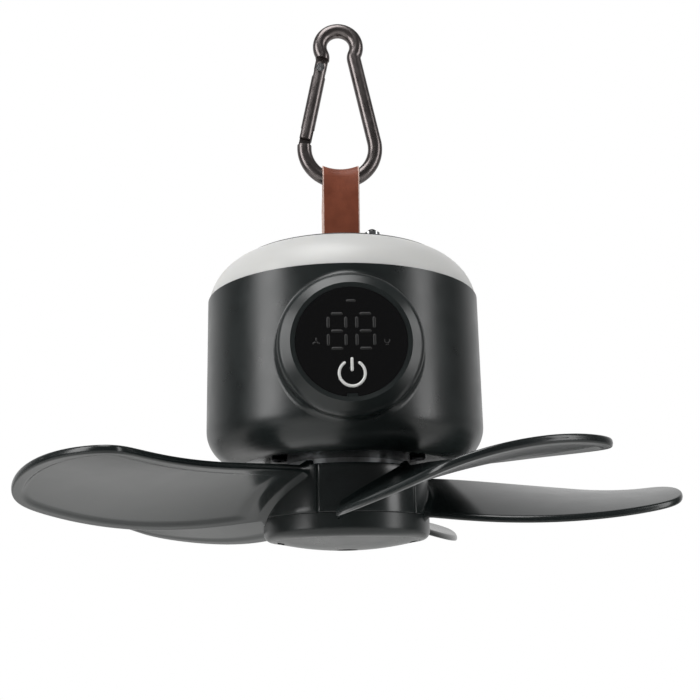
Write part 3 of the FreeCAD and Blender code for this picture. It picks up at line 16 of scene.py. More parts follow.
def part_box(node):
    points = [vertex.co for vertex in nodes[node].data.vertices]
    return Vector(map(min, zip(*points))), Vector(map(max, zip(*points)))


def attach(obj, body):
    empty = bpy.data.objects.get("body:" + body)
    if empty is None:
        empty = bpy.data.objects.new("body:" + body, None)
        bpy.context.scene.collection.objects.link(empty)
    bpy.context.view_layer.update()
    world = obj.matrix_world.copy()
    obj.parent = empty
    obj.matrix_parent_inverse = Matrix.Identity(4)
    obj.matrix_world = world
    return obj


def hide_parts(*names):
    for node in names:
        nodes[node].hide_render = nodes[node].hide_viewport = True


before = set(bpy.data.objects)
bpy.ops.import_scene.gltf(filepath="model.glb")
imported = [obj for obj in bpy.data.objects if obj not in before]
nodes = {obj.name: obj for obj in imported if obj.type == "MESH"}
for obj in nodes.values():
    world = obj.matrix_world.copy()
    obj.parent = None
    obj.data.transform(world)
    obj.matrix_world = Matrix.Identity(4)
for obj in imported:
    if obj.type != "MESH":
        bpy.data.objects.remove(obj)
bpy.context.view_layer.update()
print("packed nodes:", len(nodes))

# %% [markdown]
# The workshop thinks in millimetres and the scene in metres, so one value turns one into the other.
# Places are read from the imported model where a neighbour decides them: a piece measured from its
# neighbour can't drift away from it.

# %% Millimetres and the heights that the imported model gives
MM = 0.001


def node_box(name):
    """Lowest and highest corner of a node, in millimetres."""
    low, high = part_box(name)
    return np.array(low) / MM, np.array(high) / MM


COVER_TOP = node_box("cover_screws")[1][2]
HUB_TOP = node_box("hub_core")[1][2]
LIP_Z = node_box("hub_core")[0][2]
HUB_R = node_box("hub_core")[1][0]
LENS_LOW, LENS_HIGH = node_box("display_lens")
LENS_Z = (LENS_LOW[2] + LENS_HIGH[2]) / 2
print("cover", round(COVER_TOP, 2), "hub", round(HUB_TOP, 2), "lip", round(LIP_Z, 2))
print("window", round(LENS_Z, 2))

# %% [markdown]
# A new piece is a sheet of points worked out in one go: rows run along the piece, columns run round its
# section. Two helpers turn such a sheet into a closed skin. The faces always turn outwards when the
# rows go forward and the columns go round anticlockwise, seen from the front end.

# %% Skins from grids of points
def skin_faces(rows, columns, start=0):
    """Quads joining each point to its neighbours in the next row and the next column, round and round."""
    row, column = np.meshgrid(np.arange(rows - 1), np.arange(columns), indexing="ij")
    beside = (column + 1) % columns
    corners = (row * columns + column, row * columns + beside,
               (row + 1) * columns + beside, (row + 1) * columns + column)
    return (np.stack(corners, axis=-1).reshape(-1, 4) + start).tolist()


def end_faces(rows, columns, first, last, start=0):
    """Triangles from each end row to the point that closes it."""
    column = np.arange(columns)
    beside = (column + 1) % columns
    foot = np.stack([np.full(columns, first), beside + start, column + start], axis=-1)
    base = (rows - 1) * columns + start
    head = np.stack([np.full(columns, last), column + base, beside + base], axis=-1)
    return foot.tolist() + head.tolist()


def make_piece(name, skins, material, body, stands_for=()):
    """Mesh object from one or several grids in millimetres, shaded smooth and riding on its body."""
    points, faces, count = [], [], 0
    for skin in skins:
        rows, columns, _ = skin.shape
        faces += skin_faces(rows, columns, count)
        poles = count + rows * columns
        faces += end_faces(rows, columns, poles, poles + 1, count)
        points += [skin.reshape(-1, 3), skin[0].mean(0)[None], skin[-1].mean(0)[None]]
        count = poles + 2
    mesh = bpy.data.meshes.new(name)
    mesh.from_pydata((np.vstack(points) * MM).tolist(), [], faces)
    mesh.polygons.foreach_set("use_smooth", np.ones(len(mesh.polygons), bool))
    mesh.materials.append(material)
    piece = bpy.data.objects.new(name, mesh)
    bpy.context.scene.collection.objects.link(piece)
    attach(piece, body)
    if stands_for:
        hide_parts(*stands_for)
    print(name, "faces", len(mesh.polygons))
    return piece


def ease(share):
    """Smooth step from 0 to 1: three times the square less twice the cube."""
    share = np.clip(share, 0.0, 1.0)
    return share * share * (3 - 2 * share)


# %% [markdown]
# Every finish is a small network of nodes ending in one shader. Colours are picked as they look on
# a screen, so a function turns them into the linear light that the shader works in. One more function
# adds a node with its settings and links, so that a material reads as a list of what it is made of.
# A noise pattern stays mostly between three and seven tenths, so that is the range that gets spread.

# %% Colours and nodes
PATTERN_LOW = 0.3
PATTERN_HIGH = 0.7


def linear(shown, alpha=1.0):
    """Linear colour of a screen colour written as six hexadecimal digits, by the usual screen curve:
    a straight line for the darkest tones and a power of 2.4 above them."""
    parts = [int(shown[i:i + 2], 16) / 255 for i in (0, 2, 4)]
    return [p / 12.92 if p <= 0.04045 else ((p + 0.055) / 1.055) ** 2.4 for p in parts] + [alpha]


def add(tree, kind, values=None, links=None, **settings):
    """Node of a kind with its settings, its socket values and the sockets that feed it."""
    node = tree.nodes.new("ShaderNode" + kind)
    for key, value in settings.items():
        setattr(node, key, value)
    for key, value in (values or {}).items():
        node.inputs[key].default_value = value
    for key, source in (links or {}).items():
        tree.links.new(source, node.inputs[key])
    return node


def new_finish(name, colour, roughness, **values):
    """Material with one shader whose uniform values are set straight on its sockets."""
    material = bpy.data.materials.new(name)
    material.use_nodes = True
    shader = material.node_tree.nodes["Principled BSDF"]
    shader.inputs["Base Color"].default_value = linear(colour)
    shader.inputs["Roughness"].default_value = roughness
    for key, value in values.items():
        shader.inputs[key.replace("_", " ")].default_value = value
    return material, material.node_tree, shader


def grain(tree, size_mm, detail=2.0, stretch=(1.0, 1.0, 1.0)):
    """Noise whose lumps are about one size in millimetres, on the object's own coordinates."""
    place = add(tree, "TexCoord").outputs["Object"]
    turned = add(tree, "Mapping", {"Scale": stretch}, {"Vector": place})
    scale = 1.0 / (size_mm * MM)
    return add(tree, "TexNoise", {"Scale": scale, "Detail": detail}, {"Vector": turned.outputs["Vector"]})


def cells(tree, size_mm, randomness=1.0):
    """Distance pattern of cells about one size in millimetres, on the object's own coordinates."""
    place = add(tree, "TexCoord").outputs["Object"]
    values = {"Scale": 1.0 / (size_mm * MM), "Randomness": randomness}
    return add(tree, "TexVoronoi", values, {"Vector": place}).outputs["Distance"]


def vary(tree, source, socket, low, high):
    """Feed a socket with a pattern spread between two values."""
    limits = {"From Min": PATTERN_LOW, "From Max": PATTERN_HIGH, "To Min": low, "To Max": high}
    spread = add(tree, "MapRange", limits, {"Value": source})
    tree.links.new(spread.outputs["Result"], socket)


def tint(tree, source, shader, first, second):
    """Colour of the shader wandering between two screen colours."""
    blend = add(tree, "Mix", {"A": linear(first), "B": linear(second)}, data_type="RGBA")
    limits = {"From Min": PATTERN_LOW, "From Max": PATTERN_HIGH}
    spread = add(tree, "MapRange", limits, {"Value": source})
    tree.links.new(spread.outputs["Result"], blend.inputs["Factor"])
    tree.links.new(blend.outputs["Result"], shader.inputs["Base Color"])


def emboss(tree, source, shader, depth_mm, strength=0.5):
    """Bump of a real depth in millimetres."""
    bump = add(tree, "Bump", {"Strength": strength, "Distance": depth_mm * MM}, {"Height": source})
    tree.links.new(bump.outputs["Normal"], shader.inputs["Normal"])


# %% [markdown]
# The shells are ABS, moulded in a mould with a fine satin texture and dyed a green-tinged black. Light
# runs over such a skin in broad soft bands. A faint unevenness of gloss, a few millimetres across,
# and a grit of a third of a millimetre keep it from looking like paint.

# %% Moulded ABS for the shells, blades and hub
ABS_IOR = 1.53


def moulded_abs(name, glossiest, dullest, grit_mm):
    """ABS whose highlights are broken by the mould's grit, of the given depth."""
    material, tree, shader = new_finish(name, "161b1b", dullest, IOR=ABS_IOR)
    cloud = grain(tree, size_mm=9.0, detail=3.0)
    tint(tree, cloud.outputs["Fac"], shader, "151a1a", "191f1f")
    vary(tree, cloud.outputs["Fac"], shader.inputs["Roughness"], glossiest, dullest)
    emboss(tree, grain(tree, size_mm=0.35, detail=1.0).outputs["Fac"], shader, grit_mm, strength=0.2)
    return material


def white_abs():
    """Unpainted white ABS of the inner parts, a little glossier than the shells."""
    material, tree, shader = new_finish("moulded_white_abs", "d9d9d4", roughness=0.42, IOR=ABS_IOR)
    cloud = grain(tree, size_mm=6.0)
    tint(tree, cloud.outputs["Fac"], shader, "d2d2cc", "dfdfda")
    emboss(tree, grain(tree, size_mm=0.3).outputs["Fac"], shader, depth_mm=0.01, strength=0.2)
    return material


SATIN_ABS = moulded_abs("moulded_satin_abs", glossiest=0.27, dullest=0.33, grit_mm=0.008)
GLOSSY_ABS = moulded_abs("moulded_glossy_abs", glossiest=0.19, dullest=0.24, grit_mm=0.003)
WHITE_ABS = white_abs()

# %% [markdown]
# The light ring is acrylic with white powder in it. Light goes a few millimetres in, scatters and comes
# out again, which is why the ring looks bright next to the dark shells even when its lamps are off.
# Subsurface scattering does that; plain white paint would look hard and opaque.

# %% Opal acrylic for the light ring and smoked acrylic for the window
ACRYLIC_IOR = 1.49
SCATTER_MM = (3.0, 2.9, 2.7)


def opal_acrylic():
    """Frosted opal acrylic in which each colour travels a few millimetres before it comes out."""
    material, tree, shader = new_finish("frosted_opal_acrylic", "d2d2d0", roughness=0.38, IOR=ACRYLIC_IOR)
    shader.inputs["Subsurface Weight"].default_value = 0.6
    shader.inputs["Subsurface Radius"].default_value = SCATTER_MM
    shader.inputs["Subsurface Scale"].default_value = MM
    cloud = grain(tree, size_mm=12.0)
    vary(tree, cloud.outputs["Fac"], shader.inputs["Roughness"], low=0.34, high=0.42)
    return material


def smoked_acrylic():
    """Polished black acrylic of the window: a mirror-like face over nearly no colour."""
    material, tree, shader = new_finish("polished_smoked_acrylic", "070708", roughness=0.06,
                                        IOR=ACRYLIC_IOR)
    wipe = grain(tree, size_mm=7.0, detail=3.0)
    vary(tree, wipe.outputs["Fac"], shader.inputs["Roughness"], low=0.05, high=0.09)
    return material


def gloss_black():
    """Polished black cap of the light button, dyed through, with a little orange peel."""
    material, tree, shader = new_finish("polished_black_abs", "0d0d0e", roughness=0.12, IOR=ABS_IOR)
    emboss(tree, grain(tree, size_mm=0.8).outputs["Fac"], shader, depth_mm=0.01, strength=0.15)
    return material


OPAL = opal_acrylic()
SMOKED = smoked_acrylic()
GLOSS_BLACK = gloss_black()

# %% [markdown]
# The metals are few: black nickel on the carabiner, zinc-plated and blackened screws, ground steel,
# cast aluminium, spring wire, copper. Each one starts from a typical reflectance and gets
# the marks of how it was made: drawn along its length, ground, cast or wound.

# %% Metals
def metal(name, colour, darker, roughness, rougher, lump_mm, stretch=(1.0, 1.0, 1.0), depth_mm=0.0):
    """Metal whose colour and gloss wander at one scale, with a bump where the surface is uneven."""
    material, tree, shader = new_finish(name, colour, roughness, Metallic=1.0)
    cloud = grain(tree, lump_mm, detail=3.0, stretch=stretch)
    tint(tree, cloud.outputs["Fac"], shader, darker, colour)
    vary(tree, cloud.outputs["Fac"], shader.inputs["Roughness"], roughness, rougher)
    if depth_mm:
        emboss(tree, cloud.outputs["Fac"], shader, depth_mm, strength=0.4)
    return material


BLACK_NICKEL = metal("satin_black_nickel", "777170", "6a6463", roughness=0.27, rougher=0.33, lump_mm=5.0)
BLACK_SCREW = metal("blackened_steel", "2c2c2e", "222224", roughness=0.3, rougher=0.42, lump_mm=1.5)
ZINC_STEEL = metal("bright_plated_steel", "b9bbbd", "9fa1a4", roughness=0.16, rougher=0.28, lump_mm=2.0)
SPRING_STEEL = metal("drawn_spring_steel", "8f8f92", "77777b", roughness=0.24, rougher=0.36, lump_mm=0.6)
CAST_ALLOY = metal("cast_aluminium", "a9abad", "909294", roughness=0.34, rougher=0.5, lump_mm=0.9,
                   depth_mm=0.03)
COPPER = metal("enamelled_copper", "b0643a", "8e4a28", roughness=0.22, rougher=0.34, lump_mm=0.7)
LAMINATED = metal("laminated_steel", "7c7f84", "5a5d62", roughness=0.3, rougher=0.45, lump_mm=0.5,
                  stretch=(0.05, 0.05, 1.0), depth_mm=0.02)
MAGNET = metal("nickelled_magnet", "6d6d70", "5c5c60", roughness=0.3, rougher=0.4, lump_mm=1.2)

# %% [markdown]
# Inside there are boards with green solder mask, white lamps, cells in a shrunk plastic sleeve, and the
# symbol on the window is a white screen print. They are seen only when the fan is taken
# apart or looked at from below, but they get the same care.

# %% Boards, lamps, cells and print
def solder_mask():
    """Glass-fibre board under green lacquer; a woven ghost of half a millimetre shows through."""
    material, tree, shader = new_finish("green_solder_mask", "1c5234", roughness=0.32, IOR=1.5)
    weave = cells(tree, size_mm=0.5, randomness=0.1)
    tint(tree, weave, shader, "174529", "236040")
    emboss(tree, weave, shader, depth_mm=0.01, strength=0.2)
    return material


def lamp_resin():
    """Cloudy yellow-white resin over each lamp's chip."""
    material, tree, shader = new_finish("phosphor_resin", "e8dfa8", roughness=0.45, IOR=1.52)
    tint(tree, grain(tree, size_mm=1.4).outputs["Fac"], shader, "e2d38a", "efe9c6")
    return material


def shrink_sleeve():
    """Heat-shrunk plastic sleeve on the cells, tight and a little wavy."""
    material, tree, shader = new_finish("shrunk_plastic_sleeve", "2d5f8f", roughness=0.3, IOR=1.54)
    tint(tree, grain(tree, size_mm=14.0).outputs["Fac"], shader, "28567f", "336a9c")
    emboss(tree, grain(tree, size_mm=4.0).outputs["Fac"], shader, depth_mm=0.06, strength=0.3)
    return material


def screen_print(name, colour):
    """Matt ink laid through a screen, its edge a little proud of the window."""
    material, tree, shader = new_finish(name, colour, roughness=0.5, IOR=1.48)
    emboss(tree, grain(tree, size_mm=0.15).outputs["Fac"], shader, depth_mm=0.004, strength=0.3)
    return material


GREEN_BOARD = solder_mask()
LAMP_RESIN = lamp_resin()
CELL_SLEEVE = shrink_sleeve()
WHITE_INK = screen_print("white_screen_print", "dcdcda")
DARK_INK = screen_print("dark_segment_print", "060607")

# %% [markdown]
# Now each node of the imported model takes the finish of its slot. The window is an exception:
# it shares its slot with the button, but it is smoked sheet, so it is set by name. The plate under
# the body comes from a smoother mould than the shell, as the blades do.

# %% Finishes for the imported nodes
FINISHES = {
    "black_nickel": BLACK_NICKEL, "spring_steel": SPRING_STEEL, "bright_steel": ZINC_STEEL,
    "dark_screw": BLACK_SCREW, "leather": SATIN_ABS, "shell": SATIN_ABS, "gloss_black": GLOSS_BLACK,
    "diffuser": OPAL, "circuit_board": GREEN_BOARD, "lamp_white": LAMP_RESIN,
    "white_plastic": WHITE_ABS, "icon_print": WHITE_INK, "cell_can": CELL_SLEEVE,
    "mount_alloy": CAST_ALLOY, "lamination_steel": LAMINATED, "copper": COPPER, "magnet": MAGNET,
}
for name, node in nodes.items():
    slot_name = node.data.materials[0].name.split(".")[0]
    node.data.materials[0] = FINISHES[slot_name]
nodes["display_lens"].data.materials[0] = SMOKED
nodes["bottom_plate"].data.materials[0] = GLOSSY_ABS

# %% [markdown]
# The strap is a single band of vegetable-tanned leather folded over the hook's wire. Where it rides on
# the wire it is skived thin and its edges stand up a little, so its top edge dips in the middle. It is
# a rounded rectangle carried along a path: up the front, over the wire in a half circle, and down the
# back. Cloth simulation would wrinkle it like fabric, which thick leather doesn't do.

# %% Path and section of the strap
PIVOT_Z = -62.0
STRAP_W = 14.0
STRAP_T = 1.6
STRAP_CORNER_R = 0.45
STRAP_CORNER_STEPS = 5
STRAP_STRIP_W = 0.7
STRAP_STEPS = 60
STRAP_TURN_R = 4.1
SKIVED_T = 1.1
PRESSED_T = 0.6
SKIVED_LENGTH = 12.0
SADDLE_RISE = 1.65
STRAP_DRIFT = 0.35
DRIFT_START = 2.0
DRIFT_LENGTH = 10.0
STRAP_JOIN_UP = 3.0
STRAP_JOIN_Z = COVER_TOP + STRAP_JOIN_UP
STRAP_END_Z = node_box("strap_loop")[0][2]


def strap_path(steps):
    """Middle of the band in the Y-Z plane and the direction square to it.
    From the clamped end up to the join it stands half a thickness off the middle, then an eased curve
    leads it out to the turn's radius at the wire, and a half circle leads over to the mirror side."""
    rise = np.linspace(STRAP_END_Z, PIVOT_Z, steps)
    spread = STRAP_TURN_R - STRAP_T / 2
    out = STRAP_T / 2 + spread * ease((rise - STRAP_JOIN_Z) / (PIVOT_Z - STRAP_JOIN_Z))
    turn = np.linspace(0, math.pi, steps)[1:-1]
    y = np.concatenate([-out, -STRAP_TURN_R * np.cos(turn), out[::-1]])
    z = np.concatenate([rise, PIVOT_Z + STRAP_TURN_R * np.sin(turn), rise[::-1]])
    slope = np.stack([np.gradient(y), np.gradient(z)], axis=-1)
    slope /= np.linalg.norm(slope, axis=1, keepdims=True)
    return y, z, -slope[:, 1], slope[:, 0]


def rounded_band(width, thickness, corner, per_corner):
    """Rounded rectangle, anticlockwise: four corner arcs joined by straight sides."""
    turn = np.linspace(0, math.pi / 2, per_corner)
    arcs = []
    for quarter, (sx, sy) in enumerate(((1, 1), (-1, 1), (-1, -1), (1, -1))):
        angle = turn + quarter * math.pi / 2
        arcs.append(np.stack([sx * (width / 2 - corner) + corner * np.cos(angle),
                              sy * (thickness / 2 - corner) + corner * np.sin(angle)], axis=-1))
    return np.concatenate(arcs)


def split_sides(outline, most):
    """The same outline with its long sides divided into pieces no longer than the given length."""
    points = []
    for a, b in zip(outline, np.roll(outline, -1, axis=0)):
        count = max(1, int(np.ceil(np.linalg.norm(b - a) / most)))
        points.append(a + (b - a) * np.arange(count)[:, None] / count)
    return np.concatenate(points)


STRAP_OUTLINE = rounded_band(STRAP_W, STRAP_T, STRAP_CORNER_R, STRAP_CORNER_STEPS)
STRAP_SECTION = split_sides(STRAP_OUTLINE, STRAP_STRIP_W)[::-1]


def strap_skin():
    """Band section carried along the path. At the wire the band is skived thin, thinnest at its edges
    where the wire presses, and its edges stand off the wire by the square of the share across, so they
    clear the bow at every swing. Below the wire the back layer lies a little to one side, as folded
    leather does."""
    y, z, out_y, out_z = strap_path(STRAP_STEPS)
    across, through = STRAP_SECTION[:, 0][None], STRAP_SECTION[:, 1][None]
    edge = (across / (STRAP_W / 2)) ** 2
    share = ease((z[:, None] - (PIVOT_Z - SKIVED_LENGTH)) / SKIVED_LENGTH)
    thin = 1 + share * ((SKIVED_T - (SKIVED_T - PRESSED_T) * edge) / STRAP_T - 1)
    behind = np.where(y > 0, ease((PIVOT_Z - DRIFT_START - z) / DRIFT_LENGTH), 0.0)[:, None]
    points = np.empty((len(y), len(STRAP_SECTION), 3))
    points[..., 0] = across - STRAP_DRIFT * behind
    away = through * thin + SADDLE_RISE * edge * share
    points[..., 1] = y[:, None] + away * out_y[:, None]
    points[..., 2] = z[:, None] + away * out_z[:, None]
    return points


print("strap points", strap_skin().shape)

# %% [markdown]
# Leather has three things to show: fine pores half a millimetre apart, a slow change of tone from the
# tanning, and a pale raw edge where it was cut. Pores are cells of a Voronoi pattern pressed in as a
# bump, tone is a broad noise, and the edge gets a material of its own, chosen by which face it is.

# %% Leather, face and cut edge
def tanned_leather():
    """Vegetable-tanned leather, waxed: brown with darker pores and a dull sheen."""
    material, tree, shader = new_finish("waxed_tanned_leather", "7b3a20", roughness=0.55, IOR=1.45)
    shader.inputs["Sheen Weight"].default_value = 0.05
    shader.inputs["Sheen Roughness"].default_value = 0.5
    pores = cells(tree, size_mm=0.45)
    tone = grain(tree, size_mm=5.0, detail=4.0)
    tint(tree, tone.outputs["Fac"], shader, "73351c", "834025")
    vary(tree, tone.outputs["Fac"], shader.inputs["Roughness"], low=0.5, high=0.62)
    emboss(tree, pores, shader, depth_mm=0.05, strength=0.35)
    return material


def raw_edge():
    """Cut edge of the leather: pale, fibrous and matt."""
    material, tree, shader = new_finish("raw_cut_leather", "d9b9ac", roughness=0.8, IOR=1.5)
    fibres = grain(tree, size_mm=0.4, detail=3.0, stretch=(1.0, 1.0, 0.2))
    tint(tree, fibres.outputs["Fac"], shader, "c29e90", "e8d0c6")
    return material


def cut_edge_faces(mesh):
    """1 for each face of the cut edge, else 0. The band's faces come first, one ring of the section after
    another, and a side is cut edge where its middle lies beyond the flat of the band."""
    side = np.abs(STRAP_SECTION[:, 0] + np.roll(STRAP_SECTION[:, 0], -1)) / 2
    chosen = np.zeros(len(mesh.polygons), dtype=np.int32)
    rings = len(chosen) // len(side) - 2
    chosen[:rings * len(side)] = np.tile(side > STRAP_W / 2 - STRAP_CORNER_R, rings)
    return chosen


LEATHER = tanned_leather()
strap = make_piece("leather_strap", [strap_skin()], LEATHER, "fan_body", ["strap_loop"])
strap.data.materials.append(raw_edge())
strap.data.polygons.foreach_set("material_index", cut_edge_faces(strap.data))

# %% [markdown]
# Each blade is a thin twisted plate whose middle surface is given by height over the plan, with a
# bowed chord. Its rim is upright with small rounded corners, as a moulding's is, its underside is
# hollowed inside a border, and at the hub it swells into a fillet. Most of this depends on one measure,
# the distance to the outline, so the blade is one grid: rows go out from the hub, columns go round the
# section. The rise, pitch, chord and sweep are given at the root, between and at the tip.

# %% Plan and height of a blade that points along X
ROOT_R = 27.2
TIP_R = 121.9
RISE = (13.8, 12.3, 10.7, 12.4)
PITCH = (30.4, 19.4, 16.7)
HALF_CHORD = (12.6, 23.5, 30.3)
SWEEP = (7.6, 3.5, 7.6, 13.2)
ARCH_R = 192.0
TIP_SQUARENESS = 30
BLADE_T = 2.4
BLADE_START_R = 27.6
FILLET_R = 2.0
FILLET_WIDENING = 0.5
RIM_ROUND = 0.6
RIM_SOFTER = 0.4
DISH_BORDER = 2.8
DISH_SOFT = 1.6
DISH_DEPTH = 0.7
DISH_START_R = 37.0
DISH_FADE = 3.0


def through_three(root, middle, tip, share):
    """Parabola through its values at 0, a half and 1."""
    return (root * (1 - share) * (1 - 2 * share) + middle * 4 * share * (1 - share)
            + tip * share * (2 * share - 1))


def through_four(root, near, far, tip, share):
    """Cubic through its values at 0, one third, two thirds and 1."""
    t = share * 3
    return (-root * (t - 1) * (t - 2) * (t - 3) / 6 + near * t * (t - 2) * (t - 3) / 2
            - far * t * (t - 1) * (t - 3) / 2 + tip * t * (t - 1) * (t - 2) / 6)


def blade_height(x, y):
    """Height of the middle surface: the rise along the blade, plus the pitch times the way across,
    less the arch of the chord."""
    share = (x - ROOT_R) / (TIP_R - ROOT_R)
    rise = through_four(*RISE, share)
    pitch = np.radians(through_three(*PITCH, share))
    return LIP_Z + rise + y * np.tan(pitch) - y * y / (2 * ARCH_R)


def blade_plan(radius, across):
    """Point of the plan at a distance from the axis and a share across the chord, from -1 to 1. The
    chord closes at the tip as a very square ellipse does: the root of 1 less a high power of the share."""
    share = (radius - ROOT_R) / (TIP_R - ROOT_R)
    square = np.sqrt(np.clip(1 - np.clip(share, 0, 1) ** TIP_SQUARENESS, 0, 1))
    half = through_three(*HALF_CHORD, share) * square + FILLET_WIDENING * swell(radius)
    middle = np.radians(through_four(*SWEEP, share))
    angle = middle + across * half / radius
    return radius * np.cos(angle), radius * np.sin(angle)


def swell(radius):
    """Extra half thickness near the hub: a quarter-circle fillet that leaves the plate tangent."""
    near = np.clip(1 - (radius - HUB_R) / FILLET_R, 0, 1)
    return FILLET_R * (1 - np.sqrt(1 - near ** 2))


# %% [markdown]
# The rim's roundness needs the true distance from each point to the outline. It is worked out as
# a whole: every grid point against every short piece of the outline at once. Rows crowd towards the tip
# and columns crowd towards the rims, where the surface turns fastest.

# %% The blade's skin
BLADE_ROWS = 90
BLADE_COLUMNS = 104
OUTLINE_STEPS = 240
SHORTEST = 1e-12


def rim_distance(x, y):
    """Distance in the plan from every point to the two sides and the tip of the outline."""
    outward = np.sin(np.linspace(0, math.pi / 2, OUTLINE_STEPS))
    radius = BLADE_START_R + (TIP_R - BLADE_START_R) * outward
    lead, trail = blade_plan(radius, -1.0), blade_plan(radius, 1.0)
    line = np.concatenate([np.stack(lead, axis=-1), np.stack(trail, axis=-1)[::-1]])
    start, step = line[:-1], np.diff(line, axis=0)
    length = np.maximum((step ** 2).sum(1), SHORTEST)
    points = np.stack([x.ravel(), y.ravel()], axis=-1)
    along = np.clip(((points[:, None] - start[None]) * step[None]).sum(2) / length[None], 0, 1)
    away = points[:, None] - start[None] - along[..., None] * step[None]
    return np.sqrt((away ** 2).sum(2).min(1)).reshape(x.shape)


def blade_skin():
    """Grid of the whole blade. The half thickness rises as a quarter ellipse just inside the rim, the
    underside is raised by the dish's depth inside its border, and the root swells into the hub."""
    outward = np.sin(np.linspace(0, math.pi / 2, BLADE_ROWS + 1))[:-1, None]
    radius = BLADE_START_R + (TIP_R - BLADE_START_R) * outward
    turn = np.linspace(0, 2 * math.pi, BLADE_COLUMNS, endpoint=False)[None]
    across = -np.cos(turn)
    x, y = blade_plan(radius, across)
    rim = rim_distance(x, y)
    half = BLADE_T / 2 + swell(radius)
    round_in = np.clip(rim / (RIM_ROUND + RIM_SOFTER * swell(radius)), 0, 1)
    body = half * np.sqrt(1 - (1 - round_in) ** 2)
    inside = ease((rim - DISH_BORDER) / DISH_SOFT)
    dish = DISH_DEPTH * inside * ease((radius - DISH_START_R) / DISH_FADE)
    under = np.sin(turn) > 0
    z = blade_height(x, y) + np.where(under, dish - body, body)
    return np.stack([x, y, z], axis=-1)


def turned(skin, degrees):
    """A grid of points turned about the Z axis."""
    c, s = math.cos(math.radians(degrees)), math.sin(math.radians(degrees))
    return skin @ np.array([[c, s, 0], [-s, c, 0], [0, 0, 1]])


# %% [markdown]
# The root of each blade is a curved panel that closes a fifth of the hub: an upright rounded rectangle
# carried along an arc. It could be cut from a tube, but then its edges would need rounding one by one.

# %% The root panel and the five blades
BLADES = 5
PANEL_T = 2.2
PANEL_CORNER_R = 0.35
PANEL_CORNER_STEPS = 4
PANEL_STRIP_W = 2.0
PANEL_STEPS = 40
PANEL_FOOT_UP = 7.8
PANEL_LOW = LIP_Z + PANEL_FOOT_UP
PANEL_SPAN = 360.0 / BLADES
PANEL_SEAM = 248.0
PANEL_GAP = 0.2
BLADE_AZIMUTH = 209.0


def panel_skin():
    """Upright rounded rectangle carried along the hub's wall between two seams."""
    height = HUB_TOP - PANEL_LOW
    outline = rounded_band(PANEL_T, height, PANEL_CORNER_R, PANEL_CORNER_STEPS)
    section = split_sides(outline, PANEL_STRIP_W)
    reach = math.radians(PANEL_SPAN / 2) - PANEL_GAP / (2 * HUB_R)
    turn = np.linspace(reach, -reach, PANEL_STEPS)[:, None]
    radius = HUB_R - PANEL_T / 2 + section[:, 0][None]
    z = np.broadcast_to((PANEL_LOW + HUB_TOP) / 2 + section[:, 1][None], (len(turn), len(section)))
    return np.stack([radius * np.cos(turn), radius * np.sin(turn), z], axis=-1)


plate = blade_skin()
panel = panel_skin()
for i in range(BLADES):
    number = str(i + 1)
    root = PANEL_SEAM - PANEL_SPAN / 2 + i * PANEL_SPAN
    skins = [turned(plate, BLADE_AZIMUTH + i * PANEL_SPAN), turned(panel, root)]
    make_piece("fan_blade_" + number, skins, GLOSSY_ABS, "rotor", ["blade_" + number])

# %% [markdown]
# Behind the smoked window sit two seven-segment digits and a few small signs. With the fan switched
# off they are only a shade lighter than the black around them. They could be letters from a font, but a
# segment display is made of little bars, so each one is a stroke: a thin band along a short path whose
# ends are rounded. The signs are a small fan, a small lamp and a bar over the digits.

# %% Strokes on the window
WINDOW_Y = LENS_LOW[1]
PRINT_T = 0.06
SEGMENT_W = 1.0
SEGMENT_L = 3.8
DIGIT_W = 5.6
DIGIT_H = 11.4
DIGIT_PITCH = 9.1
DIGIT_UP = 3.2
STROKE_STEPS = 15


def stroke(path_x, path_z, width):
    """Band along a path on the window. Its half width is the height of a circle of its own radius at
    both ends and constant between them; its section is a flat rectangle, ink-thick."""
    step_x, step_z = np.gradient(path_x), np.gradient(path_z)
    length = np.hypot(step_x, step_z)
    along = np.concatenate([[0], np.cumsum(np.hypot(np.diff(path_x), np.diff(path_z)))])
    from_end = np.minimum(along, along[-1] - along)
    radius = width / 2
    half = np.sqrt(radius ** 2 - (radius - np.minimum(from_end, radius)) ** 2)
    side_x, side_z = -step_z / length * half, step_x / length * half
    front, back = WINDOW_Y - PRINT_T, WINDOW_Y
    columns = [(path_x + side_x, front, path_z + side_z), (path_x - side_x, front, path_z - side_z),
               (path_x - side_x, back, path_z - side_z), (path_x + side_x, back, path_z + side_z)]
    return np.stack([np.stack(np.broadcast_arrays(*column), axis=-1) for column in columns], axis=1)


def bar_stroke(x, z, length, angle, width):
    """Straight stroke about its middle, turned from the horizontal, with rows crowded at its ends."""
    reach = -np.cos(np.linspace(0, math.pi, STROKE_STEPS)) * length / 2
    return stroke(x + reach * math.cos(angle), z + reach * math.sin(angle), width)


def digit(x):
    """Seven bars of one digit about its middle: three lying, four standing."""
    z = LENS_Z + DIGIT_UP
    lying = [bar_stroke(x, z + k * DIGIT_H / 2, SEGMENT_L, 0.0, SEGMENT_W) for k in (-1, 0, 1)]
    standing = [bar_stroke(x + i * DIGIT_W / 2, z + k * DIGIT_H / 4, SEGMENT_L, math.pi / 2, SEGMENT_W)
                for i in (-1, 1) for k in (-1, 1)]
    return lying + standing


digits = digit(-DIGIT_PITCH / 2) + digit(DIGIT_PITCH / 2)
make_piece("digit_segments", digits, DARK_INK, "fan_body")

# %% Signs beside and over the digits
SIGN_Z = LENS_Z - 0.3
FAN_SIGN_X = -11.2
VANE_OUT = 0.75
VANE_L = 1.2
VANE_W = 0.6
LAMP_SIGN_X = 11.3
BULB_R = 0.8
BULB_UP = 0.3
BULB_STEPS = 25
LAMP_LINE_W = 0.35
SOCKET_L = 1.0
SOCKET_DOWN = 1.0
BAR_UP = 13.2
BAR_L = 3.1
BAR_W = 0.9


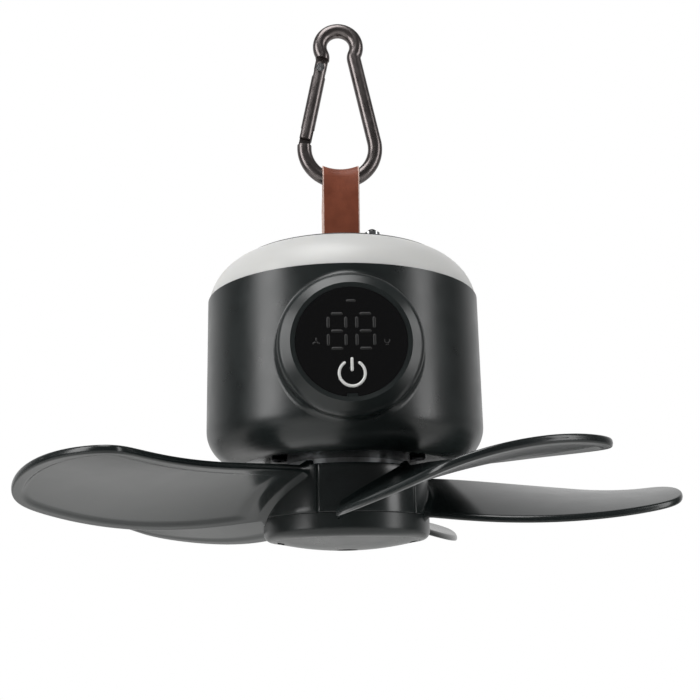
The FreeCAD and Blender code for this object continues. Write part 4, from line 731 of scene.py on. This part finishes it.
def small_fan(x, z):
    """Sign for the fan speed: three short strokes about a point."""
    return [bar_stroke(x + VANE_OUT * math.cos(a), z + VANE_OUT * math.sin(a), VANE_L, a, VANE_W)
            for a in (math.pi / 2, math.pi * 7 / 6, math.pi * 11 / 6)]


def small_lamp(x, z):
    """Sign for the light: a small ring, open at its foot, over a short bar."""
    turn = np.linspace(0.2 * math.pi, -1.2 * math.pi, BULB_STEPS)
    bulb = stroke(x + BULB_R * np.cos(turn), z + BULB_UP + BULB_R * np.sin(turn), LAMP_LINE_W)
    return [bulb, bar_stroke(x, z - SOCKET_DOWN, SOCKET_L, 0.0, LAMP_LINE_W)]


signs = small_fan(FAN_SIGN_X, SIGN_Z) + small_lamp(LAMP_SIGN_X, SIGN_Z)
signs.append(bar_stroke(0.0, LENS_Z + BAR_UP, BAR_L, 0.0, BAR_W))
make_piece("window_signs", signs, DARK_INK, "fan_body")

# %% [markdown]
# The power symbol is printed on the window in white: a ring with a gap at its top and a bar standing
# in the gap. Two more strokes make it. A few extra rows close to the ring's ends round them off.

# %% The power symbol
ICON_Z = LENS_Z - 10.5
ICON_R = 4.1
ICON_STROKE = 0.92
ICON_GAP = math.radians(29)
ICON_STEPS = 60
END_ROWS = np.array([0.018, 0.054, 0.108])
ICON_BAR_UP = 2.85
ICON_BAR_L = 4.55
around = np.linspace(math.pi / 2 + ICON_GAP, math.pi / 2 + 2 * math.pi - ICON_GAP, ICON_STEPS)
around = np.sort(np.concatenate([around, around[0] + END_ROWS, around[-1] - END_ROWS]))
ring = stroke(ICON_R * np.cos(around), ICON_Z + ICON_R * np.sin(around), ICON_STROKE)
bar = bar_stroke(0.0, ICON_Z + ICON_BAR_UP, ICON_BAR_L, math.pi / 2, ICON_STROKE)
make_piece("power_symbol", [ring, bar], WHITE_INK, "fan_body", ["power_icon"])

# %% [markdown]
# Screws are bought parts, so one function makes them all: a profile of shank, underside, rounded rim
# and top, spun round its axis, with a cross pressed into the head. The cross is a dip in the
# height of the top wherever a point lies inside one of two crossed bars. Boolean cuts would do it too,
# but they leave ragged faces on such small things.

# %% Screws
RIM_SHARE = 0.45
RIM_MOST = 0.5
RIM_STEPS = 6
TOP_STEPS = 22
CENTRE_R = 0.02
SCREW_SIDES = 72
POINT_R_SHARE = 0.35
POINT_L_SHARE = 0.15
ARM_SHARE = 0.1
REACH_SHARE = 0.3
ARM_WALL = 0.5
END_WALL = 0.8
CROSS_DEPTH_SHARE = 0.7
SAME_HEIGHT = 1e-6


def screw_skin(x, y, seat, up, length, shank_d, head_d, head_h):
    """Profile spun about a vertical axis, from the shank's end to the middle of the head's top.
    up is 1 for a head above its seat and -1 for one below. The cross is two bars, a fifth of the
    head wide and six tenths of it long, with eased walls."""
    rim = min(head_h * RIM_SHARE, RIM_MOST)
    bend = np.linspace(0, math.pi / 2, RIM_STEPS)
    top = np.linspace(head_d / 2 - rim, CENTRE_R, TOP_STEPS)[1:]
    radius = np.concatenate([[shank_d * POINT_R_SHARE, shank_d / 2, shank_d / 2, head_d / 2, head_d / 2],
                             head_d / 2 - rim + rim * np.cos(bend), top])
    height = np.concatenate([[-length, -length + shank_d * POINT_L_SHARE, 0, 0, head_h - rim],
                             head_h - rim + rim * np.sin(bend), np.full(len(top), head_h)])
    turn = np.linspace(0, 2 * math.pi, SCREW_SIDES, endpoint=False)
    across, along = radius[:, None] * np.cos(turn), radius[:, None] * np.sin(turn)
    arm, reach = head_d * ARM_SHARE, head_d * REACH_SHARE
    near = np.minimum(np.abs(across), np.abs(along))
    far = np.maximum(np.abs(across), np.abs(along))
    cross = ease((arm - near) / (arm * ARM_WALL) + 0.5) * ease((reach - far) / (arm * END_WALL) + 0.5)
    on_top = (height >= head_h - SAME_HEIGHT)[:, None]
    depth = np.where(on_top, cross * head_h * CROSS_DEPTH_SHARE, 0.0)
    z = seat + up * (height[:, None] - depth)
    return np.stack([x + across, y + along * up, z], axis=-1)


def dress_screws(name, node, material, body, circle, up, shank_d, head_d, head_h):
    """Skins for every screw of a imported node, spaced evenly on a circle about the fan's axis, which is
    given by its radius, its first angle and the count. Seat and length come from the node's box, so the
    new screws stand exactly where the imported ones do."""
    low, high = node_box(node)
    seat, end = (high[2] - head_h, low[2]) if up > 0 else (low[2] + head_h, high[2])
    radius, start, count = circle
    turns = np.radians(start + np.arange(count) * 360.0 / count)
    skins = [screw_skin(radius * math.cos(a), radius * math.sin(a), seat, up, abs(seat - end),
                        shank_d, head_d, head_h) for a in turns]
    make_piece(name, skins, material, body, [node])


dress_screws("cover_screw_heads", "cover_screws", BLACK_SCREW, "fan_body",
             circle=(30.0, 90, 3), up=1, shank_d=3.0, head_d=5.6, head_h=0.9)
dress_screws("plate_screw_heads", "plate_screws", BLACK_SCREW, "fan_body",
             circle=(33.25, 45, 4), up=-1, shank_d=3.0, head_d=5.4, head_h=1.5)
dress_screws("mount_screw_heads", "mount_screws", ZINC_STEEL, "fan_body",
             circle=(16.5, 0, 3), up=-1, shank_d=2.5, head_d=4.4, head_h=0.6)
dress_screws("cap_screw_head", "cap_screw", BLACK_SCREW, "rotor",
             circle=(0.0, 0, 1), up=-1, shank_d=2.5, head_d=5.4, head_h=1.1)

# %% [markdown]
# The gate closes by a spring in its bore, which shows through the slot at the hinge. A helix is the
# plainest path with a formula: the angle grows steadily while the height does. The wire's own round
# section is carried along it.

# %% The gate's spring
LEG_ANGLE = math.radians(11.5)
RIVET = np.array([-7.297, 0.0, -14.849])
SPRING_TOP = -2.6
SPRING_FOOT = -15.1
SPRING_R = 1.25
SPRING_WIRE_R = 0.24
SPRING_TURNS = 11
STEPS_PER_TURN = 26
WIRE_SIDES = 10


def spring_skin():
    """Circle of the wire's radius carried along a helix, then leaned to the leg and moved to the rivet."""
    t = np.linspace(0, 1, SPRING_TURNS * STEPS_PER_TURN)[:, None]
    turn = 2 * math.pi * SPRING_TURNS * t
    section = np.linspace(0, 2 * math.pi, WIRE_SIDES, endpoint=False)[None]
    radius = SPRING_R + SPRING_WIRE_R * np.cos(section)
    height = SPRING_FOOT + (SPRING_TOP - SPRING_FOOT) * t + SPRING_WIRE_R * np.sin(section)
    x, y = radius * np.cos(turn), radius * np.sin(turn)
    skin = np.stack([x, y, height], axis=-1)[:, ::-1]
    c, s = math.cos(LEG_ANGLE), math.sin(LEG_ANGLE)
    return skin @ np.array([[c, 0, -s], [0, 1, 0], [s, 0, c]]) + RIVET


make_piece("closing_spring", [spring_skin()], SPRING_STEEL, "gate", ["gate_spring"])

# %% [markdown]
# The camera stands below the fan and a little to its left, turned up by 14 degrees. Its focal length and
# its place are real values, found by fitting the circles of the body, the ring and the hub.

# %% The camera
PHOTO_SIZE = 700
FOCAL_PIXELS = 1051.0
SENSOR_MM = 36.0
NEAREST = 0.01
LOOK_UP = 0.2457
ROLL = 0.02
SIDE = math.radians(3.0)
CAMERA_AT = (-17.4, -378.1, -224.2)
camera_data = bpy.data.cameras.new("camera")
camera_data.sensor_width = SENSOR_MM
camera_data.lens = FOCAL_PIXELS * SENSOR_MM / PHOTO_SIZE
camera_data.clip_start = NEAREST
camera = bpy.data.objects.new("camera", camera_data)
bpy.context.scene.collection.objects.link(camera)
level = math.cos(LOOK_UP)
look = Vector((math.sin(SIDE) * level, math.cos(SIDE) * level, math.sin(LOOK_UP)))
right = Vector((math.cos(SIDE), -math.sin(SIDE), 0))
up = right.cross(look)
rolled_right = right * math.cos(ROLL) - up * math.sin(ROLL)
rolled_up = up * math.cos(ROLL) + right * math.sin(ROLL)
facing = Matrix((rolled_right, rolled_up, -look)).transposed().to_4x4()
camera.matrix_world = Matrix.Translation(Vector(CAMERA_AT) * MM) @ facing
bpy.context.scene.camera = camera

# %% [markdown]
# The studio is a pale floor under the fan, a white room behind it and three soft lamps, one at each side
# and one above. The dark band down the middle of the body comes from the room being dark in front, behind
# the camera, so the world shines white from behind and fades towards the front. The floor carries a
# painted pool of light: it glows under the fan and the glow fades outwards, lighting the blades from
# below.

# %% Floor, room and lamps
FLOOR_Z = -0.52
FLOOR_R = 1.6
FLOOR_SIDES = 96
# Where the painted pool of light on the floor is centred, in metres.
PAINTED_GLOW_Y = 0.4
BODY_MIDDLE_Z = -0.14


def pale_floor_with_painted_glow():
    """Seamless studio paper, matt and faintly mottled, with a painted glow of light under the fan:
    its emission is strongest near one point and fades outwards, a painted pool of light.
    """
    material, tree, shader = new_finish("pale_paper_with_painted_glow", "f2f2f0", roughness=0.85, IOR=1.4)
    tint(tree, grain(tree, size_mm=60.0).outputs["Fac"], shader, "f0f0ee", "f5f5f3")
    # Painted light: the paper's emission is strongest near a point under the fan and fades with distance
    # from it.
    place = add(tree, "TexCoord").outputs["Object"]
    away = add(tree, "VectorMath", {1: (0.0, PAINTED_GLOW_Y, FLOOR_Z)}, {0: place}, operation="DISTANCE")
    painted_glow = add(tree, "MapRange", {"From Min": 0.2, "From Max": 0.65, "To Min": 0.5, "To Max": 0.05},
               {"Value": away.outputs["Value"]}, interpolation_type="SMOOTHSTEP")
    shader.inputs["Emission Color"].default_value = linear("ffffff")
    tree.links.new(painted_glow.outputs["Result"], shader.inputs["Emission Strength"])
    return material


turn = np.linspace(0, 2 * math.pi, FLOOR_SIDES, endpoint=False)
floor_mesh = bpy.data.meshes.new("studio_floor")
floor_mesh.from_pydata([(FLOOR_R * math.cos(a), FLOOR_R * math.sin(a), FLOOR_Z) for a in turn], [],
                       [list(range(len(turn)))])
floor_mesh.materials.append(pale_floor_with_painted_glow())
floor = bpy.data.objects.new("studio_floor", floor_mesh)
bpy.context.scene.collection.objects.link(floor)


def soft_lamp(name, azimuth, height, distance, size, watts):
    """Rectangular lamp that faces the middle of the body; azimuth 0 is straight in front."""
    data = bpy.data.lights.new(name, "AREA")
    data.shape = "RECTANGLE"
    data.size, data.size_y = size
    data.energy = watts
    lamp = bpy.data.objects.new(name, data)
    turn = math.radians(azimuth)
    lamp.location = (distance * math.sin(turn), -distance * math.cos(turn), height)
    aim = Vector((0, 0, BODY_MIDDLE_Z)) - lamp.location
    lamp.rotation_euler = aim.to_track_quat("-Z", "Y").to_euler()
    bpy.context.scene.collection.objects.link(lamp)


soft_lamp("left_lamp", azimuth=-64.0, height=0.12, distance=0.9, size=(0.36, 0.8), watts=4.5)
soft_lamp("right_lamp", azimuth=64.0, height=0.05, distance=0.9, size=(0.26, 0.9), watts=3.0)
soft_lamp("top_lamp", azimuth=-25.0, height=0.9, distance=0.5, size=(0.7, 0.7), watts=8.0)


def white_room():
    """World that shines white from behind and fades in front; the camera sees it white all round."""
    world = bpy.data.worlds.new("white_room")
    world.use_nodes = True
    tree = world.node_tree
    tree.nodes.clear()
    direction = add(tree, "TexCoord").outputs["Generated"]
    parts = add(tree, "SeparateXYZ", links={"Vector": direction})
    fade = add(tree, "MapRange", {"From Min": 0.2, "From Max": 0.85, "To Min": 0.12, "To Max": 0.8},
               {"Value": parts.outputs["Y"]}, interpolation_type="SMOOTHSTEP")
    room = add(tree, "Background", {"Color": linear("ffffff")}, {"Strength": fade.outputs["Result"]})
    paper = add(tree, "Background", {"Color": linear("ffffff"), "Strength": 1.0})
    seen = add(tree, "LightPath").outputs["Is Camera Ray"]
    both = add(tree, "MixShader", links={0: seen, 1: room.outputs[0], 2: paper.outputs[0]})
    add(tree, "OutputWorld", links={"Surface": both.outputs[0]})
    bpy.context.scene.world = world


white_room()
bpy.context.scene.view_settings.view_transform = "Standard"
